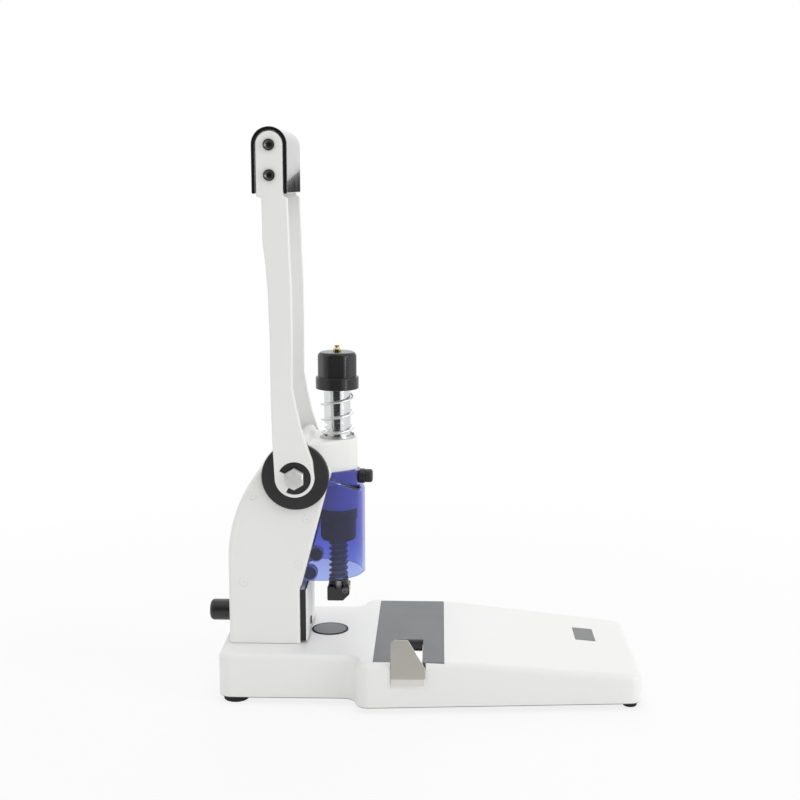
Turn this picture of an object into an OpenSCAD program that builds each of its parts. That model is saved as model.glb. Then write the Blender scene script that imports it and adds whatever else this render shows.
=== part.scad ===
// Single hole punch on a table, driven by a hand lever. X runs to the front, Z up, sizes in mm.
// Positions are worked out from the drill axis and then moved to the middle of the footprint.

/* [Base] */
// Height of the flat top above the floor
top_z = 36; // [35:0.5:38]
// Height of the rubber feet
foot_h = 4; // [3.5:0.25:4.5]
// Drill axis to the front edge of the table
table_reach = 218; // [208:1:226]
// Drill axis to the rear end of the base
base_back = 82.5; // [81:0.5:84]
// Half width of the rear part
rear_half = 57.5; // [55:0.5:60]
// Half width of the table where it starts
table_half = 75.5; // [75:0.25:77]
// Half width of the table at the front
front_half = 62; // [58:0.5:66]
// Where the top starts to fall toward the front
slope_start = 90; // [86:1:100]
// Fall of the top from the slope's start to the front edge
slope_drop = 11.5; // [8:0.5:13]
// Radius of the soft top edge
edge_r = 4.5; // [3:0.25:5]
// Wall of the shell
wall = 4; // [3.5:0.25:4.5]

/* [Column] */
// Drill axis to the rear face of the column
col_back = 77; // [76:0.25:78]
// Drill axis to the lower front face of the covers
col_front = 25.7; // [25.5:0.1:26.5]
// Height where the rear face starts to curve
arc_z = 98; // [94:1:102]
// Radius of the rear curve
arc_r = 106; // [104:1:112]
// Half width over the side covers
cover_half = 33.5; // [33:0.25:34]
// Sheet of the covers
cover_t = 3; // [2.5:0.25:3.25]
// Half width of the inner frame
frame_half = 27.5; // [27:0.25:27.75]
// Top of the head casting
head_top = 186.2; // [185.5:0.1:188]
// Radius of the boss that guides the quill
boss_r = 14.5; // [14.2:0.1:15.5]
// Top of the boss
boss_top = 182.7; // [182.2:0.1:183.5]
// Underside of the boss
boss_low = 130; // [129.5:0.25:132]

/* [Drive] */
// Lever shaft to drill axis, along X
pivot_back = 27.5; // [27.4:0.05:27.6]
// Height of the lever shaft
pivot_z = 160.7; // [160:0.1:161]
// Tooth module of the sector and the rack
tooth_m = 1.25; // [1.25]
// Teeth that a full turn of the sector would have
teeth = 31; // [31]
// Radius of the lever shaft
shaft_r = 8; // [7.5:0.25:8]
// Radius of the quill
quill_r = 9.5; // [9.4:0.05:9.6]

/* [Lever] */
// Radius of the hub discs
hub_r = 24; // [23:0.25:25]
// Sheet of the hub discs
hub_t = 4.5; // [4:0.25:5]
// Sheet of the arms
arm_t = 5; // [4.5:0.25:5.5]
// Radius of the arm's round end
arm_end_r = 14; // [13.5:0.25:14.5]
// Shaft to the top of the grip
grip_top = 243; // [232:1:250]
// Length of the grip's legs below its round top
grip_leg = 33; // [30:0.5:36]
// Half width of the grip across the lever's swing
grip_half = 12.25; // [11.75:0.25:13]
// Wall of the grip
grip_t = 2.6; // [2.2:0.1:3]
// How far the top of the lever leans to the rear
lean = 14.45; // [12:0.25:16]

/* [Tool] */
// Underside of the presser foot at rest
foot_z = 60.6; // [60.2:0.1:62]
// Radius of the hollow drill
drill_r = 3; // [2.75:0.05:3]
// Radius of the pad
pad_r = 12.4; // [12:0.1:13]
// Drill axis to the pad's centre, toward the rear
pad_back = 6.7; // [6:0.1:7.5]
// Underside of the shield
shield_low = 82.3; // [80:0.5:84]
// Top of the shield
shield_top = 160; // [159:0.25:161]
// Half width of the shield
shield_half = 30; // [29.7:0.1:30.1]
// Drill axis to the front of the shield
shield_front = 19.9; // [19.8:0.1:21]

/* [Gauges] */
// Height of the gauge screw
screw_z = 50.6; // [49:0.2:52]
// Radius of the rear knob
knob_r = 7.8; // [7:0.2:8.5]
// Drill axis to the end of the rear knob
knob_back = 96; // [94:0.5:100]
// Top of the back gauge plate
gauge_top = 76; // [74:0.5:77]
// Front edge of the side gauge tab from the drill axis
tab_front = 65.2; // [64:0.2:66]
// Width of the side gauge
tab_w = 24; // [23:0.5:25]
// Top of the side gauge tab
tab_top = 54; // [50:0.5:58]

/* [Hidden] */
$fn = 48;
fit = 0.06;
gap = 0.3;
white = [0.93, 0.93, 0.92];
black = [0.06, 0.06, 0.065];
steel = [0.72, 0.72, 0.72];
grey = [0.5, 0.5, 0.51];
shift_x = -(table_reach - knob_back) / 2;
pivot_x = -pivot_back;
slope = slope_drop / (table_reach - slope_start);
slope_a = atan(slope);
low_z = foot_h;
corner_rear = 10;
corner_front = 9.5;
curve_start = 6;
curve_end = 26;
curve_dx = curve_end - curve_start;
curve_dw = table_half - rear_half;
curve_r = (curve_dx * curve_dx + curve_dw * curve_dw) / (4 * curve_dw);
curve_a = 2 * atan(curve_dw / curve_dx);
slant_low = [-24.3, 80];
slant_high = [-2, 164];
slant_k = (slant_high[0] - slant_low[0]) / (slant_high[1] - slant_low[1]);
cover_in = cover_half - cover_t - 0.2;
hub_in = cover_half + gap;
arm_in = hub_in + hub_t;
arm_out = arm_in + arm_t;
pitch_r = tooth_m * teeth / 2;
rack_x = pivot_x + pitch_r;
tip_r = pitch_r + tooth_m - 0.1;
root_r = pitch_r - 1.25 * tooth_m;
base_r = pitch_r * cos(20);
tooth_p = PI * tooth_m;
backlash = 0.12;
cap_low = 218.5;
spring_seat = 226.2;
washer_top = boss_top + 1.5;
chuck_low = 106.3;
foot_top = foot_z + 15.7;
panel_t = 2.5;
panel_x0 = 28.6;
panel_x1 = 78.4;
panel_half = 69.5;
strip_top = top_z - panel_t - 0.2;
strip_t = 1.5;
tab_x0 = tab_front - tab_w;
tab_t = 1.3;
tab_y = -table_half + 0.2;
pad_top = top_z + 0.7;
cup_r = pad_r + 1.2;
thumb_z = shield_top - 6.4;
shank_r = drill_r + 2.2;
stud_x = -19;
stud_z = 87.5;
stud_r = 4.7;
roof_k = 0.53;
roof_z = shield_top - 3.9;
head_low = boss_low + 18.2;
head_rear = min(head_top - 3, arc_z + 0.8 * arc_r);
rear_top = min(head_top - 5, arc_z + 0.775 * arc_r);
grip_mid = grip_top - grip_half;
knob_front = -col_back - 1.4;
screw_marks = [[-59, 146], [-20, 129], [-26.5, 95], [-66, 82]];
frame_marks = [[-42, 124], [-28, 124]];
column_bolt_marks = [[-62, 17], [-40, 17]];
foot_marks = [[-base_back + 12, rear_half - 10], [table_reach - 7.8, front_half - 9.2]];
plate_marks = [[-52, 46], [14, 50], [150, 57]];

// Small builders

// Moves a piece from the drill axis to the shared frame
module placed() {
    translate([shift_x, 0, 0]) children();
}

// A flat outline in X and Z as a plate from one Y to another
module plate_y(y0, y1) {
    translate([0, y1, 0]) rotate([90, 0, 0]) linear_extrude(y1 - y0) children();
}

// Round bars along each axis
module rod_x(r, x0, x1, y, z) {
    translate([x0, y, z]) rotate([0, 90, 0]) cylinder(r = r, h = x1 - x0);
}

module rod_y(r, y0, y1, x, z) {
    translate([x, y1, z]) rotate([90, 0, 0]) cylinder(r = r, h = y1 - y0);
}

module rod_z(r, z0, z1, x, y) {
    translate([x, y, z0]) cylinder(r = r, h = z1 - z0);
}

module box(x0, x1, y0, y1, z0, z1) {
    translate([x0, y0, z0]) cube([x1 - x0, y1 - y0, z1 - z0]);
}

module both_sides() {
    children();
    mirror([0, 1, 0]) children();
}

// Base outline

// Height of the top at a distance from the drill axis
function top_at(x) = x < slope_start ? top_z : top_z - (x - slope_start) * slope;

// Half width of the straight taper of the table
function taper(x) = table_half
    + (front_half - table_half) * (x - curve_end) / (table_reach - corner_front - curve_end);

// One side of the plan outline from rear to front, moved inward
function half_line(ins) = concat(
    [for (a = [180:-15:90]) [-base_back + corner_rear + (corner_rear - ins) * cos(a),
        rear_half - corner_rear + (corner_rear - ins) * sin(a)]],
    [for (k = [0:5]) [curve_start + (curve_r + ins) * sin(k * curve_a / 6),
        rear_half + curve_r - (curve_r + ins) * cos(k * curve_a / 6)]],
    [for (k = [6:-1:0]) [curve_end - (curve_r - ins) * sin(k * curve_a / 6),
        table_half - curve_r + (curve_r - ins) * cos(k * curve_a / 6)]],
    [[slope_start, taper(slope_start) - ins]],
    [for (a = [90:-15:0]) [table_reach - corner_front + (corner_front - ins) * cos(a),
        front_half - corner_front + (corner_front - ins) * sin(a)]]);

// A closed ring of the outline, on the side with low Y first
function ring(ins, zs) = let (h = half_line(ins), n = len(h)) concat(
    [for (i = [0:n - 1]) [h[i][0], -h[i][1], zs[i]]],
    [for (i = [n - 1:-1:0]) [h[i][0], h[i][1], zs[i]]]);

// Solid with the base outline, moved inward, its top lowered and its top edge round
module base_form(ins, drop, z0, r) {
    n = len(half_line(0));
    m = 2 * n;
    steps = 4;
    flat = [for (i = [0:n - 1]) z0];
    tops = [for (k = [0:steps]) [for (p = half_line(ins + r * (1 - cos(k * 90 / steps))))
        top_at(p[0]) - drop - r + r * sin(k * 90 / steps)]];
    rings = concat([ring(ins, flat)],
        [for (k = [0:steps]) ring(ins + r * (1 - cos(k * 90 / steps)), tops[k])]);
    points = [for (q = rings) for (p = q) p];
    last = (len(rings) - 1) * m;
    sides = [for (j = [0:len(rings) - 2]) for (i = [0:m - 1]) let (i2 = (i + 1) % m)
        each [[j * m + i, (j + 1) * m + i, (j + 1) * m + i2], [j * m + i, (j + 1) * m + i2, j * m + i2]]];
    floor_cap = [for (i = [0:n - 2]) [i, i + 1, m - 2 - i, m - 1 - i]];
    top_cap = [for (i = [0:n - 2]) [last + i, last + m - 1 - i, last + m - 2 - i, last + i + 1]];
    polyhedron(points, concat(sides, floor_cap, top_cap));
}

// Column outline

function rear_x(z, ins) = z < arc_z ? -col_back + ins
    : -col_back + arc_r - sqrt((arc_r - ins) * (arc_r - ins) - (z - arc_z) * (z - arc_z));

function slant_x(z) = slant_low[0] + (z - slant_low[1]) * slant_k;

// Rear edge as points from a low to a high level
function rear_line(z0, z1, ins) = concat([[rear_x(z0, ins), z0]],
    [for (k = [0:10]) let (z = max(arc_z, z0) + (z1 - max(arc_z, z0)) * k / 10) [rear_x(z, ins), z]]);

// Body base

module base_shell() color(white) placed() difference() {
    union() {
        difference() {
            base_form(0, 0, low_z, edge_r);
            base_form(wall, wall, low_z - 1, 1);
        }
        box(panel_x0 - 3, panel_x1 + 3, -table_half + 6, table_half - 6, 26, top_z - 1);
        box(-col_back + 1, -26, -33, 33, 29, top_z - 1);
        rod_z(cup_r + 3, 27, top_z - 1, -pad_back, 0);
        both_sides() for (p = plate_marks) rod_z(4.5, low_z + 2.4, 21, p[0], p[1]);
        both_sides() for (p = plate_marks)
            box(p[0] - 1.2, p[0] + 1.2, p[1] - 1.2, p[1] + 1.2, 15, top_at(p[0]) - 1);
    }
    box(panel_x0 - 0.1, panel_x1 + 0.1, -panel_half - 0.1, panel_half + 0.1, top_z - panel_t, top_z + 5);
    box(tab_x0 - 0.4, tab_front + 0.4, -table_half - 1, panel_half - 4, strip_top - strip_t, top_z + 5);
    box(tab_x0 - 0.6, tab_front + 0.6, -table_half - 1, tab_y + tab_t + 0.2, 19, top_z + 5);
    rod_z(cup_r, 31.5, top_z + 5, -pad_back, 0);
    both_sides() for (p = column_bolt_marks) rod_z(3.1, 20, top_z + 1, p[0], p[1]);
    both_sides() for (p = plate_marks) rod_z(1.6, low_z, 15, p[0], p[1]);
    badge_form(0.1, 1);
}

module badge_form(extra, up) {
    translate([177, 4.5 - extra, top_at(177)]) rotate([0, slope_a, 0])
        translate([-extra, 0, -0.5]) cube([15 + 2 * extra, 27 + 2 * extra, 0.8 + up]);
}

module badge() color([0.25, 0.25, 0.26]) placed() badge_form(0, 0);

module base_plate() color(steel) placed() difference() {
    linear_extrude_plan(wall + 0.4, low_z + 0.4, low_z + 2.4);
    both_sides() for (p = foot_marks) rod_z(2.1, 0, 10, p[0], p[1]);
    both_sides() for (p = plate_marks) rod_z(1.7, 0, 10, p[0], p[1]);
}

// Plan outline as a flat plate
module linear_extrude_plan(ins, z0, z1) {
    h = half_line(ins);
    n = len(h);
    translate([0, 0, z0]) linear_extrude(z1 - z0)
        polygon(concat([for (p = h) [p[0], -p[1]]], [for (i = [n - 1:-1:0]) h[i]]));
}

module base_screws() color(steel) placed() both_sides() for (p = plate_marks) {
    rod_z(3, low_z - 1.4, low_z + 0.4, p[0], p[1]);
    rod_z(1.5, low_z - 1, 14, p[0], p[1]);
}

// Big feet at the rear, small ones under the front corners
function foot_r(p) = p[0] < 0 ? 9.4 : 5.4;

module rubber_feet() color(black) placed() both_sides() for (p = foot_marks) {
    translate([p[0], p[1], 0]) cylinder(r1 = foot_r(p) - 0.6, r2 = foot_r(p), h = foot_h - 0.1);
    rod_z(min(4.6, foot_r(p) - 2.2), foot_h - 0.2, foot_h + 0.4, p[0], p[1]);
    rod_z(2, foot_h - 1, foot_h + 3.6, p[0], p[1]);
    rod_z(3.2, foot_h + 2.4, foot_h + 3.6, p[0], p[1]);
}

module gauge_panel() color(grey) placed() difference() {
    box(panel_x0, panel_x1, -panel_half, panel_half, top_z - panel_t, top_z + 0.15);
    box(tab_x0 + 2, tab_front - 2, -panel_half - 1, -22, 0, top_z + 5);
}

module pad_cup() color(black) placed() difference() {
    rod_z(cup_r - 0.05, 31.5, top_z + 0.65, -pad_back, 0);
    rod_z(pad_r + fit, 33, top_z + 5, -pad_back, 0);
}

module cutting_pad() color(grey) placed() rod_z(pad_r, 33, pad_top, -pad_back, 0);

// Column

module cheek_outline() {
    difference() {
        polygon(concat(rear_line(top_z, 148, 3.4),
            [[slant_x(148) - 7, 148], [slant_x(96) - 2.5, 96]],
            [for (a = [115:-10:-115]) [stud_x + (stud_r + 1.1) * cos(a), stud_z + (stud_r + 1.1) * sin(a)]],
            [[slant_x(80) - 3, 80], [-col_front - 3, 76], [-col_front - 3, top_z]]));
        translate([stud_x, stud_z]) circle(r = stud_r + fit);
    }
}

module frame_cheek() {
    difference() {
        plate_y(22.5, frame_half) cheek_outline();
        for (p = screw_marks) rod_y(1.55, 20, 40, p[0], p[1]);
        for (p = frame_marks) rod_y(3.2, 20, 40, p[0], p[1]);
    }
}

module frame_cheek_left() color(white) placed() mirror([0, 1, 0]) frame_cheek();

module frame_cheek_right() color(white) placed() frame_cheek();

module column_core() color(white) placed() difference() {
    union() {
        box(-73.5, -29, -22.5, 22.5, top_z, top_z + 5);
        box(-73.6, -70, -22.5, 22.5, top_z + 4, arc_z);
        box(-40, -30, -22.5, 22.5, top_z + 4, 70);
    }
    rod_x(3 + fit, -90, -68, 0, screw_z);
    rod_x(5.5 + fit, -45, -20, 0, screw_z);
    both_sides() rod_x(2.5 + fit, -45, -20, 15, 62);
    both_sides() for (p = column_bolt_marks) rod_z(3.1, top_z - 1, top_z + 8, p[0], p[1]);
}

module front_plate() color(white) placed() plate_y(-22.5, 22.5) polygon([[slant_x(93) - 4, 93],
    [slant_x(93) - 2, 93], [slant_x(110) - 2.5, 110], [slant_x(110) - 4.5, 110]]);

module column_bolts() color(steel) placed() both_sides() for (p = column_bolt_marks) {
    rod_z(3, 27, top_z + 4.5, p[0], p[1]);
    translate([p[0], p[1], 25]) cylinder(r = 5.77, h = 4, $fn = 6);
}

module cover_outline() {
    polygon(concat(rear_line(top_z + 0.4, 170, 0), [[-9, 170], slant_high, slant_low,
        [-col_front, slant_low[1] - 3], [-col_front, top_z + 0.4]]));
}

module cover_plate() {
    difference() {
        union() {
            plate_y(cover_in + 0.2, cover_half) cover_outline();
            for (p = screw_marks) rod_y(3.6, frame_half, cover_half - 1, p[0], p[1]);
        }
        rod_y(shaft_r + 1.5, 20, 50, pivot_x, pivot_z);
        for (p = screw_marks) rod_y(1.7, 20, 50, p[0], p[1]);
        for (p = screw_marks) rod_y(3.2, cover_half - 1.6, 50, p[0], p[1]);
    }
}

module side_cover_left() color(white) placed() mirror([0, 1, 0]) cover_plate();

module side_cover_right() color(white) placed() cover_plate();

module rear_cover() color(white) placed() difference() {
    plate_y(-cover_in, cover_in) polygon(concat(rear_line(top_z + 0.4, rear_top, 0.1),
        [for (k = [10:-1:0]) let (z = arc_z + (rear_top - arc_z) * k / 10) [rear_x(z, 3), z]],
        [[rear_x(top_z, 3), top_z + 0.4]]));
    rod_x(4.5, -90, -60, 0, screw_z);
    both_sides() for (p = screw_marks) rod_y(3.9, 23, 40, p[0], p[1]);
}

module cover_screws() color([0.85, 0.85, 0.84]) placed() both_sides() for (p = screw_marks) {
    rod_y(3.1, cover_half - 1.6, cover_half - 0.2, p[0], p[1]);
    rod_y(1.5, 23, cover_half - 1.5, p[0], p[1]);
}

// Head

function tangent_a() = atan2(cover_in - 0.3, -19) - acos(boss_r / norm([19, cover_in - 0.3]));

module head_casting() color(white) placed() difference() {
    union() {
        plate_y(-cover_in + 0.3, cover_in - 0.3) polygon(concat(rear_line(head_low, head_rear, 3.3),
            [[rear_x(head_rear, 3.3) + 5, head_top], [-20.5, head_top], [-18, boss_top], [-18, head_low]]));
        box(-48, -20, -22.3, 22.3, 112, 149);
        box(-21, 0, -12, 12, 132, 152);
        translate([0, 0, 150]) linear_extrude(boss_top - 150) polygon([[-19, -cover_in + 0.3],
            [boss_r * cos(tangent_a()), -boss_r * sin(tangent_a())],
            [boss_r * cos(tangent_a()), boss_r * sin(tangent_a())], [-19, cover_in - 0.3]]);
        rod_z(boss_r, boss_low, boss_top, 0, 0);
    }
    rod_z(quill_r + gap, boss_low - 1, head_top + 5, 0, 0);
    rod_z(quill_r + 2.25, boss_low - 1, 142, 0, 0);
    rod_z(quill_r + 2.25, 176.5, head_top + 5, 0, 0);
    intersection() {
        rod_y(tip_r + 1, -6, 6, pivot_x, pivot_z);
        box(pivot_x - 2, 5, -7, 7, 100, 200);
    }
    rod_y(13, -6, 6, pivot_x, pivot_z);
    rod_y(shaft_r + 1, -40, 40, pivot_x, pivot_z);
    both_sides() rod_y(shaft_r + 2, 20, 40, pivot_x, pivot_z);
    both_sides() for (p = frame_marks) rod_y(3.1, 12, 40, p[0], p[1]);
    both_sides() for (p = screw_marks) rod_y(3.9, 23, 40, p[0], p[1]);
    rod_x(2.1, 9, 20, 0, thumb_z);
}

module frame_bolts() color(steel) placed() both_sides() for (p = frame_marks) {
    rod_y(3, 13, frame_half + 1, p[0], p[1]);
    rod_y(5, frame_half, frame_half + 2.2, p[0], p[1]);
}

module quill_bushes() color([0.78, 0.6, 0.3]) placed() difference() {
    union() {
        rod_z(quill_r + 2.25, boss_low, 142, 0, 0);
        rod_z(quill_r + 2.25, 176.5, boss_top, 0, 0);
    }
    rod_z(quill_r + fit, boss_low - 5, head_top + 5, 0, 0);
}

module shaft_bushes() color([0.78, 0.6, 0.3]) placed() both_sides() difference() {
    rod_y(shaft_r + 2, 20, cover_in - 0.3, pivot_x, pivot_z);
    rod_y(shaft_r + fit, 10, 50, pivot_x, pivot_z);
}

module spring_washer() color(steel) placed() difference() {
    rod_z(12.9, boss_top, washer_top, 0, 0);
    rod_z(quill_r + gap, boss_top - 1, washer_top + 1, 0, 0);
}

// Springs

// Level along a coil of so many turns: close end turns, open middle
function coil_z(t, turns, height, dense) = t < 0.75 ? dense * t
    : t > turns - 0.75 ? height - dense * (turns - t)
    : dense * 0.75 + (height - 1.5 * dense) * (t - 0.75) / (turns - 1.5);

// Unbroken round wire wound as a coil, from low to high
module coil(r, wire, turns, height) {
    per = 12;
    sides = 6;
    count = round(per * turns);
    dense = wire + 0.75;
    points = [for (i = [0:count]) let (t = i / per, a = 360 * t, z = coil_z(t, turns, height, dense))
        for (k = [0:sides - 1]) let (b = 360 * k / sides)
            [(r + wire / 2 * cos(b)) * cos(a), (r + wire / 2 * cos(b)) * sin(a), z + wire / 2 * sin(b)]];
    walls = [for (i = [0:count - 1]) for (k = [0:sides - 1]) let (k2 = (k + 1) % sides, p = i * sides,
        q = p + sides) each [[p + k, p + k2, q + k2], [p + k, q + k2, q + k]]];
    first = [for (k = [1:sides - 2]) [0, k + 1, k]];
    last = [for (k = [1:sides - 2]) [count * sides, count * sides + k, count * sides + k + 1]];
    polyhedron(points, concat(walls, first, last));
    echo(coil_gap = dense - wire);
}

module return_spring() color(steel) placed()
    translate([0, 0, washer_top + 0.85]) coil(quill_r + 1.75, 1.7, 4.75, spring_seat - washer_top - 1.7);

module presser_spring() color(steel) placed()
    translate([0, 0, foot_top + 0.75]) coil(shank_r + 1.1, 1.5, 7.5, chuck_low - foot_top - 1.5);

// Shield

// Room for the head, seen from above: boss and flanks, moved outward
module head_room(out, z0, z1) {
    rod_z(boss_r + out, z0, z1, 0, 0);
    translate([0, 0, z0]) linear_extrude(z1 - z0) polygon([
        [-19 + out * cos(tangent_a()), -cover_in + 0.3 - out * sin(tangent_a())],
        [(boss_r + out) * cos(tangent_a()), -(boss_r + out) * sin(tangent_a())],
        [(boss_r + out) * cos(tangent_a()), (boss_r + out) * sin(tangent_a())],
        [-19 + out * cos(tangent_a()), cover_in - 0.3 + out * sin(tangent_a())]]);
}

// Space in front of the column and below the sloping roof, lowered by a drop
module under_roof(drop) {
    plate_y(-50, 50) polygon([[slant_x(70) - 1.7, 70], [60, 70], [60, roof_z - roof_k * 60 - drop],
        [-20, roof_z + roof_k * 20 - drop], [-20, 120]]);
}

module shield_block(in) {
    rod_z(shield_half - in, shield_low - in, 190, shield_front - shield_half, 0);
    box(-40, shield_front - shield_half, -shield_half + in, shield_half - in, shield_low - in, 190);
}

module shield() color([0.1, 0.45, 0.75, 0.5]) placed() difference() {
    union() {
        difference() {
            intersection() {
                shield_block(0);
                under_roof(0);
            }
            intersection() {
                shield_block(2);
                under_roof(2.3);
            }
        }
        difference() {
            head_room(2, 144, shield_top);
            under_roof(1);
        }
    }
    head_room(0.03, 120, 190);
    plate_y(-60, 60) polygon([[slant_x(60) - 1.7, 60], [slant_x(190) - 1.7, 190], [-60, 190], [-60, 60]]);
    plate_y(-28, 28) polygon([[slant_x(60) + 0.4, 60], [slant_x(190) + 0.4, 190], [-60, 190], [-60, 60]]);
    rod_x(2.2, 10, 40, 0, thumb_z);
}

module shield_spacer() color(black) placed() difference() {
    rod_x(5.4, 12, shield_front, 0, thumb_z);
    rod_z(boss_r + 2.02, 130, 180, 0, 0);
    rod_x(2.1, 9, 25, 0, thumb_z);
}

module shield_studs() color(black) placed() both_sides()
    rod_y(stud_r, 21.8, frame_half + 0.3, stud_x, stud_z);

module thumb_knob() color(black) placed() difference() {
    union() {
        rod_x(4.9, shield_front + 0.1, shield_front + 5.2, 0, thumb_z);
        rod_x(4.4, shield_front + 5.2, shield_front + 5.7, 0, thumb_z);
    }
    rod_x(2.02, 10, shield_front + 3, 0, thumb_z);
}

module thumb_stud() color(steel) placed() rod_x(2, 10.5, shield_front + 3, 0, thumb_z);

// Lever, drawn from the shaft with Z along the arm

module lever_part() {
    placed() translate([pivot_x, 0, pivot_z]) children();
}

module arm_outline() {
    polygon(concat([for (a = [180:10:360]) arm_end_r * [cos(a), sin(a)]],
        [[12.8, 12], [9, 23], [5, 36], [1.6, 52], [-0.5, 64], [-0.2, 105], [-0.4, 132], [-1.2, 153],
            [-2.4, grip_mid - grip_leg - 3], [-lean + 9.4, grip_mid - grip_leg - 1.3]],
        [for (a = [0:10:180]) [-lean + 9.4 * cos(a), grip_mid + 9.4 * sin(a)]],
        [[-lean - 9.4, grip_mid - grip_leg - 1.3], [-20, grip_mid - grip_leg - 4], [-19.9, 165],
            [-18.4, 153], [-16.8, 132], [-15.9, 95], [-15.9, 60], [-15.3, 27]]));
}

module dog_outline(r0, r1, a0, a1) {
    difference() {
        circle(r = r1);
        circle(r = r0);
        polygon(concat([[0, 0]],
            [for (k = [0:4]) let (a = a0 + (a1 - a0) * k / 4) 40 * [cos(a), sin(a)]]));
    }
}

module lever_arm() {
    difference() {
        plate_y(arm_in, arm_out) arm_outline();
        plate_y(arm_in - 1, arm_out + 1) dog_outline(7.7, 11.7, 155, 239);
        rod_y(4.2, 30, 60, 0, 0);
        for (h = [grip_mid, grip_mid - 20.4]) rod_y(2.2, 30, 60, -lean, h);
    }
}

module lever_arm_left() color(white) lever_part() mirror([0, 1, 0]) lever_arm();

module lever_arm_right() color(white) lever_part() lever_arm();

module hub_disc(r) {
    difference() {
        union() {
            rod_y(r, hub_in, arm_in, 0, 0);
            plate_y(arm_in - 0.5, arm_out) dog_outline(7.9, 11.5, 154, 240);
        }
        plate_y(hub_in - 1, arm_in - 1) square(11.1, center = true);
        rod_y(4.2, 20, 60, 0, 0);
    }
}

module hub_disc_left() color(black) lever_part() mirror([0, 1, 0]) hub_disc(hub_r);

module hub_disc_right() color(black) lever_part() hub_disc(hub_r - 3);

module lever_shaft() color(steel) lever_part() difference() {
    union() {
        rod_y(shaft_r, -hub_in + 0.05, hub_in - 0.05, 0, 0);
        plate_y(-arm_in + 1.05, arm_in - 1.05) square(11, center = true);
    }
    both_sides() rod_y(4.05, 15, 60, 0, 0);
    box(-2, 2, -5.2, 5.2, shaft_r - 2, shaft_r + 1);
}

// Half angle of a tooth at a radius, from the involute of its base circle
function turned(r) = let (c = acos(base_r / r)) tan(c) * 180 / PI - c;
function half_tooth(r) = 90 / teeth + turned(pitch_r) - turned(max(r, base_r + 0.0001));

module sector_outline() {
    rs = [root_r, base_r + 0.05, pitch_r - 0.6, pitch_r, pitch_r + 0.6, tip_r];
    step = 360 / teeth;
    difference() {
        union() {
            circle(r = 12.2);
            polygon(concat([[0, 0]], [for (k = [-1:7]) each concat(
                [for (r = rs) r * [cos(k * step - half_tooth(r)), sin(k * step - half_tooth(r))]],
                [for (i = [5:-1:0]) let (a = k * step + half_tooth(rs[i])) rs[i] * [cos(a), sin(a)]])]));
        }
        circle(r = shaft_r + 0.05);
        translate([-2.05, 0]) square([4.1, shaft_r + 2.1]);
    }
}

module tooth_sector() color(steel) lever_part() plate_y(-5, 5) sector_outline();

module sector_key() color(steel) lever_part() box(-2, 2, -5, 5, shaft_r - 2, shaft_r + 2);

module lever_bolts() color(steel) lever_part() both_sides() {
    rod_y(4, 18, arm_out + 1, 0, 0);
    translate([0, arm_out + 5.3, 0]) rotate([90, 0, 0]) rotate([0, 0, 90])
        cylinder(r = 7.51, h = 5.3, $fn = 6);
}

module grip_outline(r) {
    translate([-lean, grip_mid]) circle(r = r);
    translate([-lean - r, grip_mid - grip_leg]) square([2 * r, grip_leg]);
}

module grip_shell() color(black) lever_part() plate_y(-arm_out - 0.2, arm_out + 0.2) difference() {
    grip_outline(grip_half);
    translate([-lean, grip_mid]) circle(r = grip_half - grip_t);
    translate([-lean - grip_half + grip_t, grip_mid - grip_leg - 1])
        square([2 * (grip_half - grip_t), grip_leg + 1]);
}

module grip_bar() color(steel) lever_part() difference() {
    plate_y(-arm_in, arm_in) {
        translate([-lean, grip_mid]) circle(r = 9.4);
        translate([-lean - 9.4, grip_mid - 28]) square([18.8, 28]);
    }
    both_sides() for (h = [grip_mid, grip_mid - 20.4]) rod_y(2.1, 24, 60, -lean, h);
}

module grip_screws() color([0.16, 0.16, 0.17]) lever_part() both_sides()
    for (h = [grip_mid, grip_mid - 20.4]) difference() {
        union() {
            rod_y(2, 25, arm_out + 1, -lean, h);
            rod_y(4, arm_out, arm_out + 2.2, -lean, h);
        }
        translate([-lean, arm_out + 2.2, h]) cube([4.6, 2, 0.9], center = true);
        translate([-lean, arm_out + 2.2, h]) cube([0.9, 2, 4.6], center = true);
    }

// Quill

module quill() color(steel) placed() difference() {
    rod_z(quill_r, 110, 238, 0, 0);
    box(-20, rack_x - tooth_m, -20, 20, 151, 194);
    for (k = [-2:8]) plate_y(-20, 20) translate([rack_x, pivot_z + k * tooth_p]) polygon([
        [-tooth_m - 1, tooth_p / 4 + backlash + (tooth_m + 1) * tan(20)],
        [1.3 * tooth_m, tooth_p / 4 + backlash - 1.3 * tooth_m * tan(20)],
        [1.3 * tooth_m, -tooth_p / 4 - backlash + 1.3 * tooth_m * tan(20)],
        [-tooth_m - 1, -tooth_p / 4 - backlash - (tooth_m + 1) * tan(20)]]);
}

module quill_cap() color(black) placed() difference() {
    union() {
        rod_z(15.65, cap_low, 227.3, 0, 0);
        intersection() {
            union() {
                rod_z(14.1, 227, 241.5, 0, 0);
                translate([0, 0, 241.5]) cylinder(r1 = 14.1, r2 = 11, h = 3.9);
            }
            translate([0, 0, 220]) cylinder(r = 15.3, h = 30, $fn = 6);
        }
    }
    rod_z(13.2, cap_low - 1, spring_seat, 0, 0);
    rod_z(quill_r + 0.02, cap_low - 1, 238, 0, 0);
    rod_z(2.55, 237, 250, 0, 0);
}

module grease_nipple() color([0.8, 0.62, 0.28]) placed() {
    rod_z(2.5, 239, 245.6, 0, 0);
    translate([0, 0, 245.4]) cylinder(r = 2.9, h = 1.8, $fn = 6);
    translate([0, 0, 247]) cylinder(r1 = 2.4, r2 = 1.6, h = 2.2);
    translate([0, 0, 249.1]) cylinder(r = 1.9, h = 1.4);
}

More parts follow.
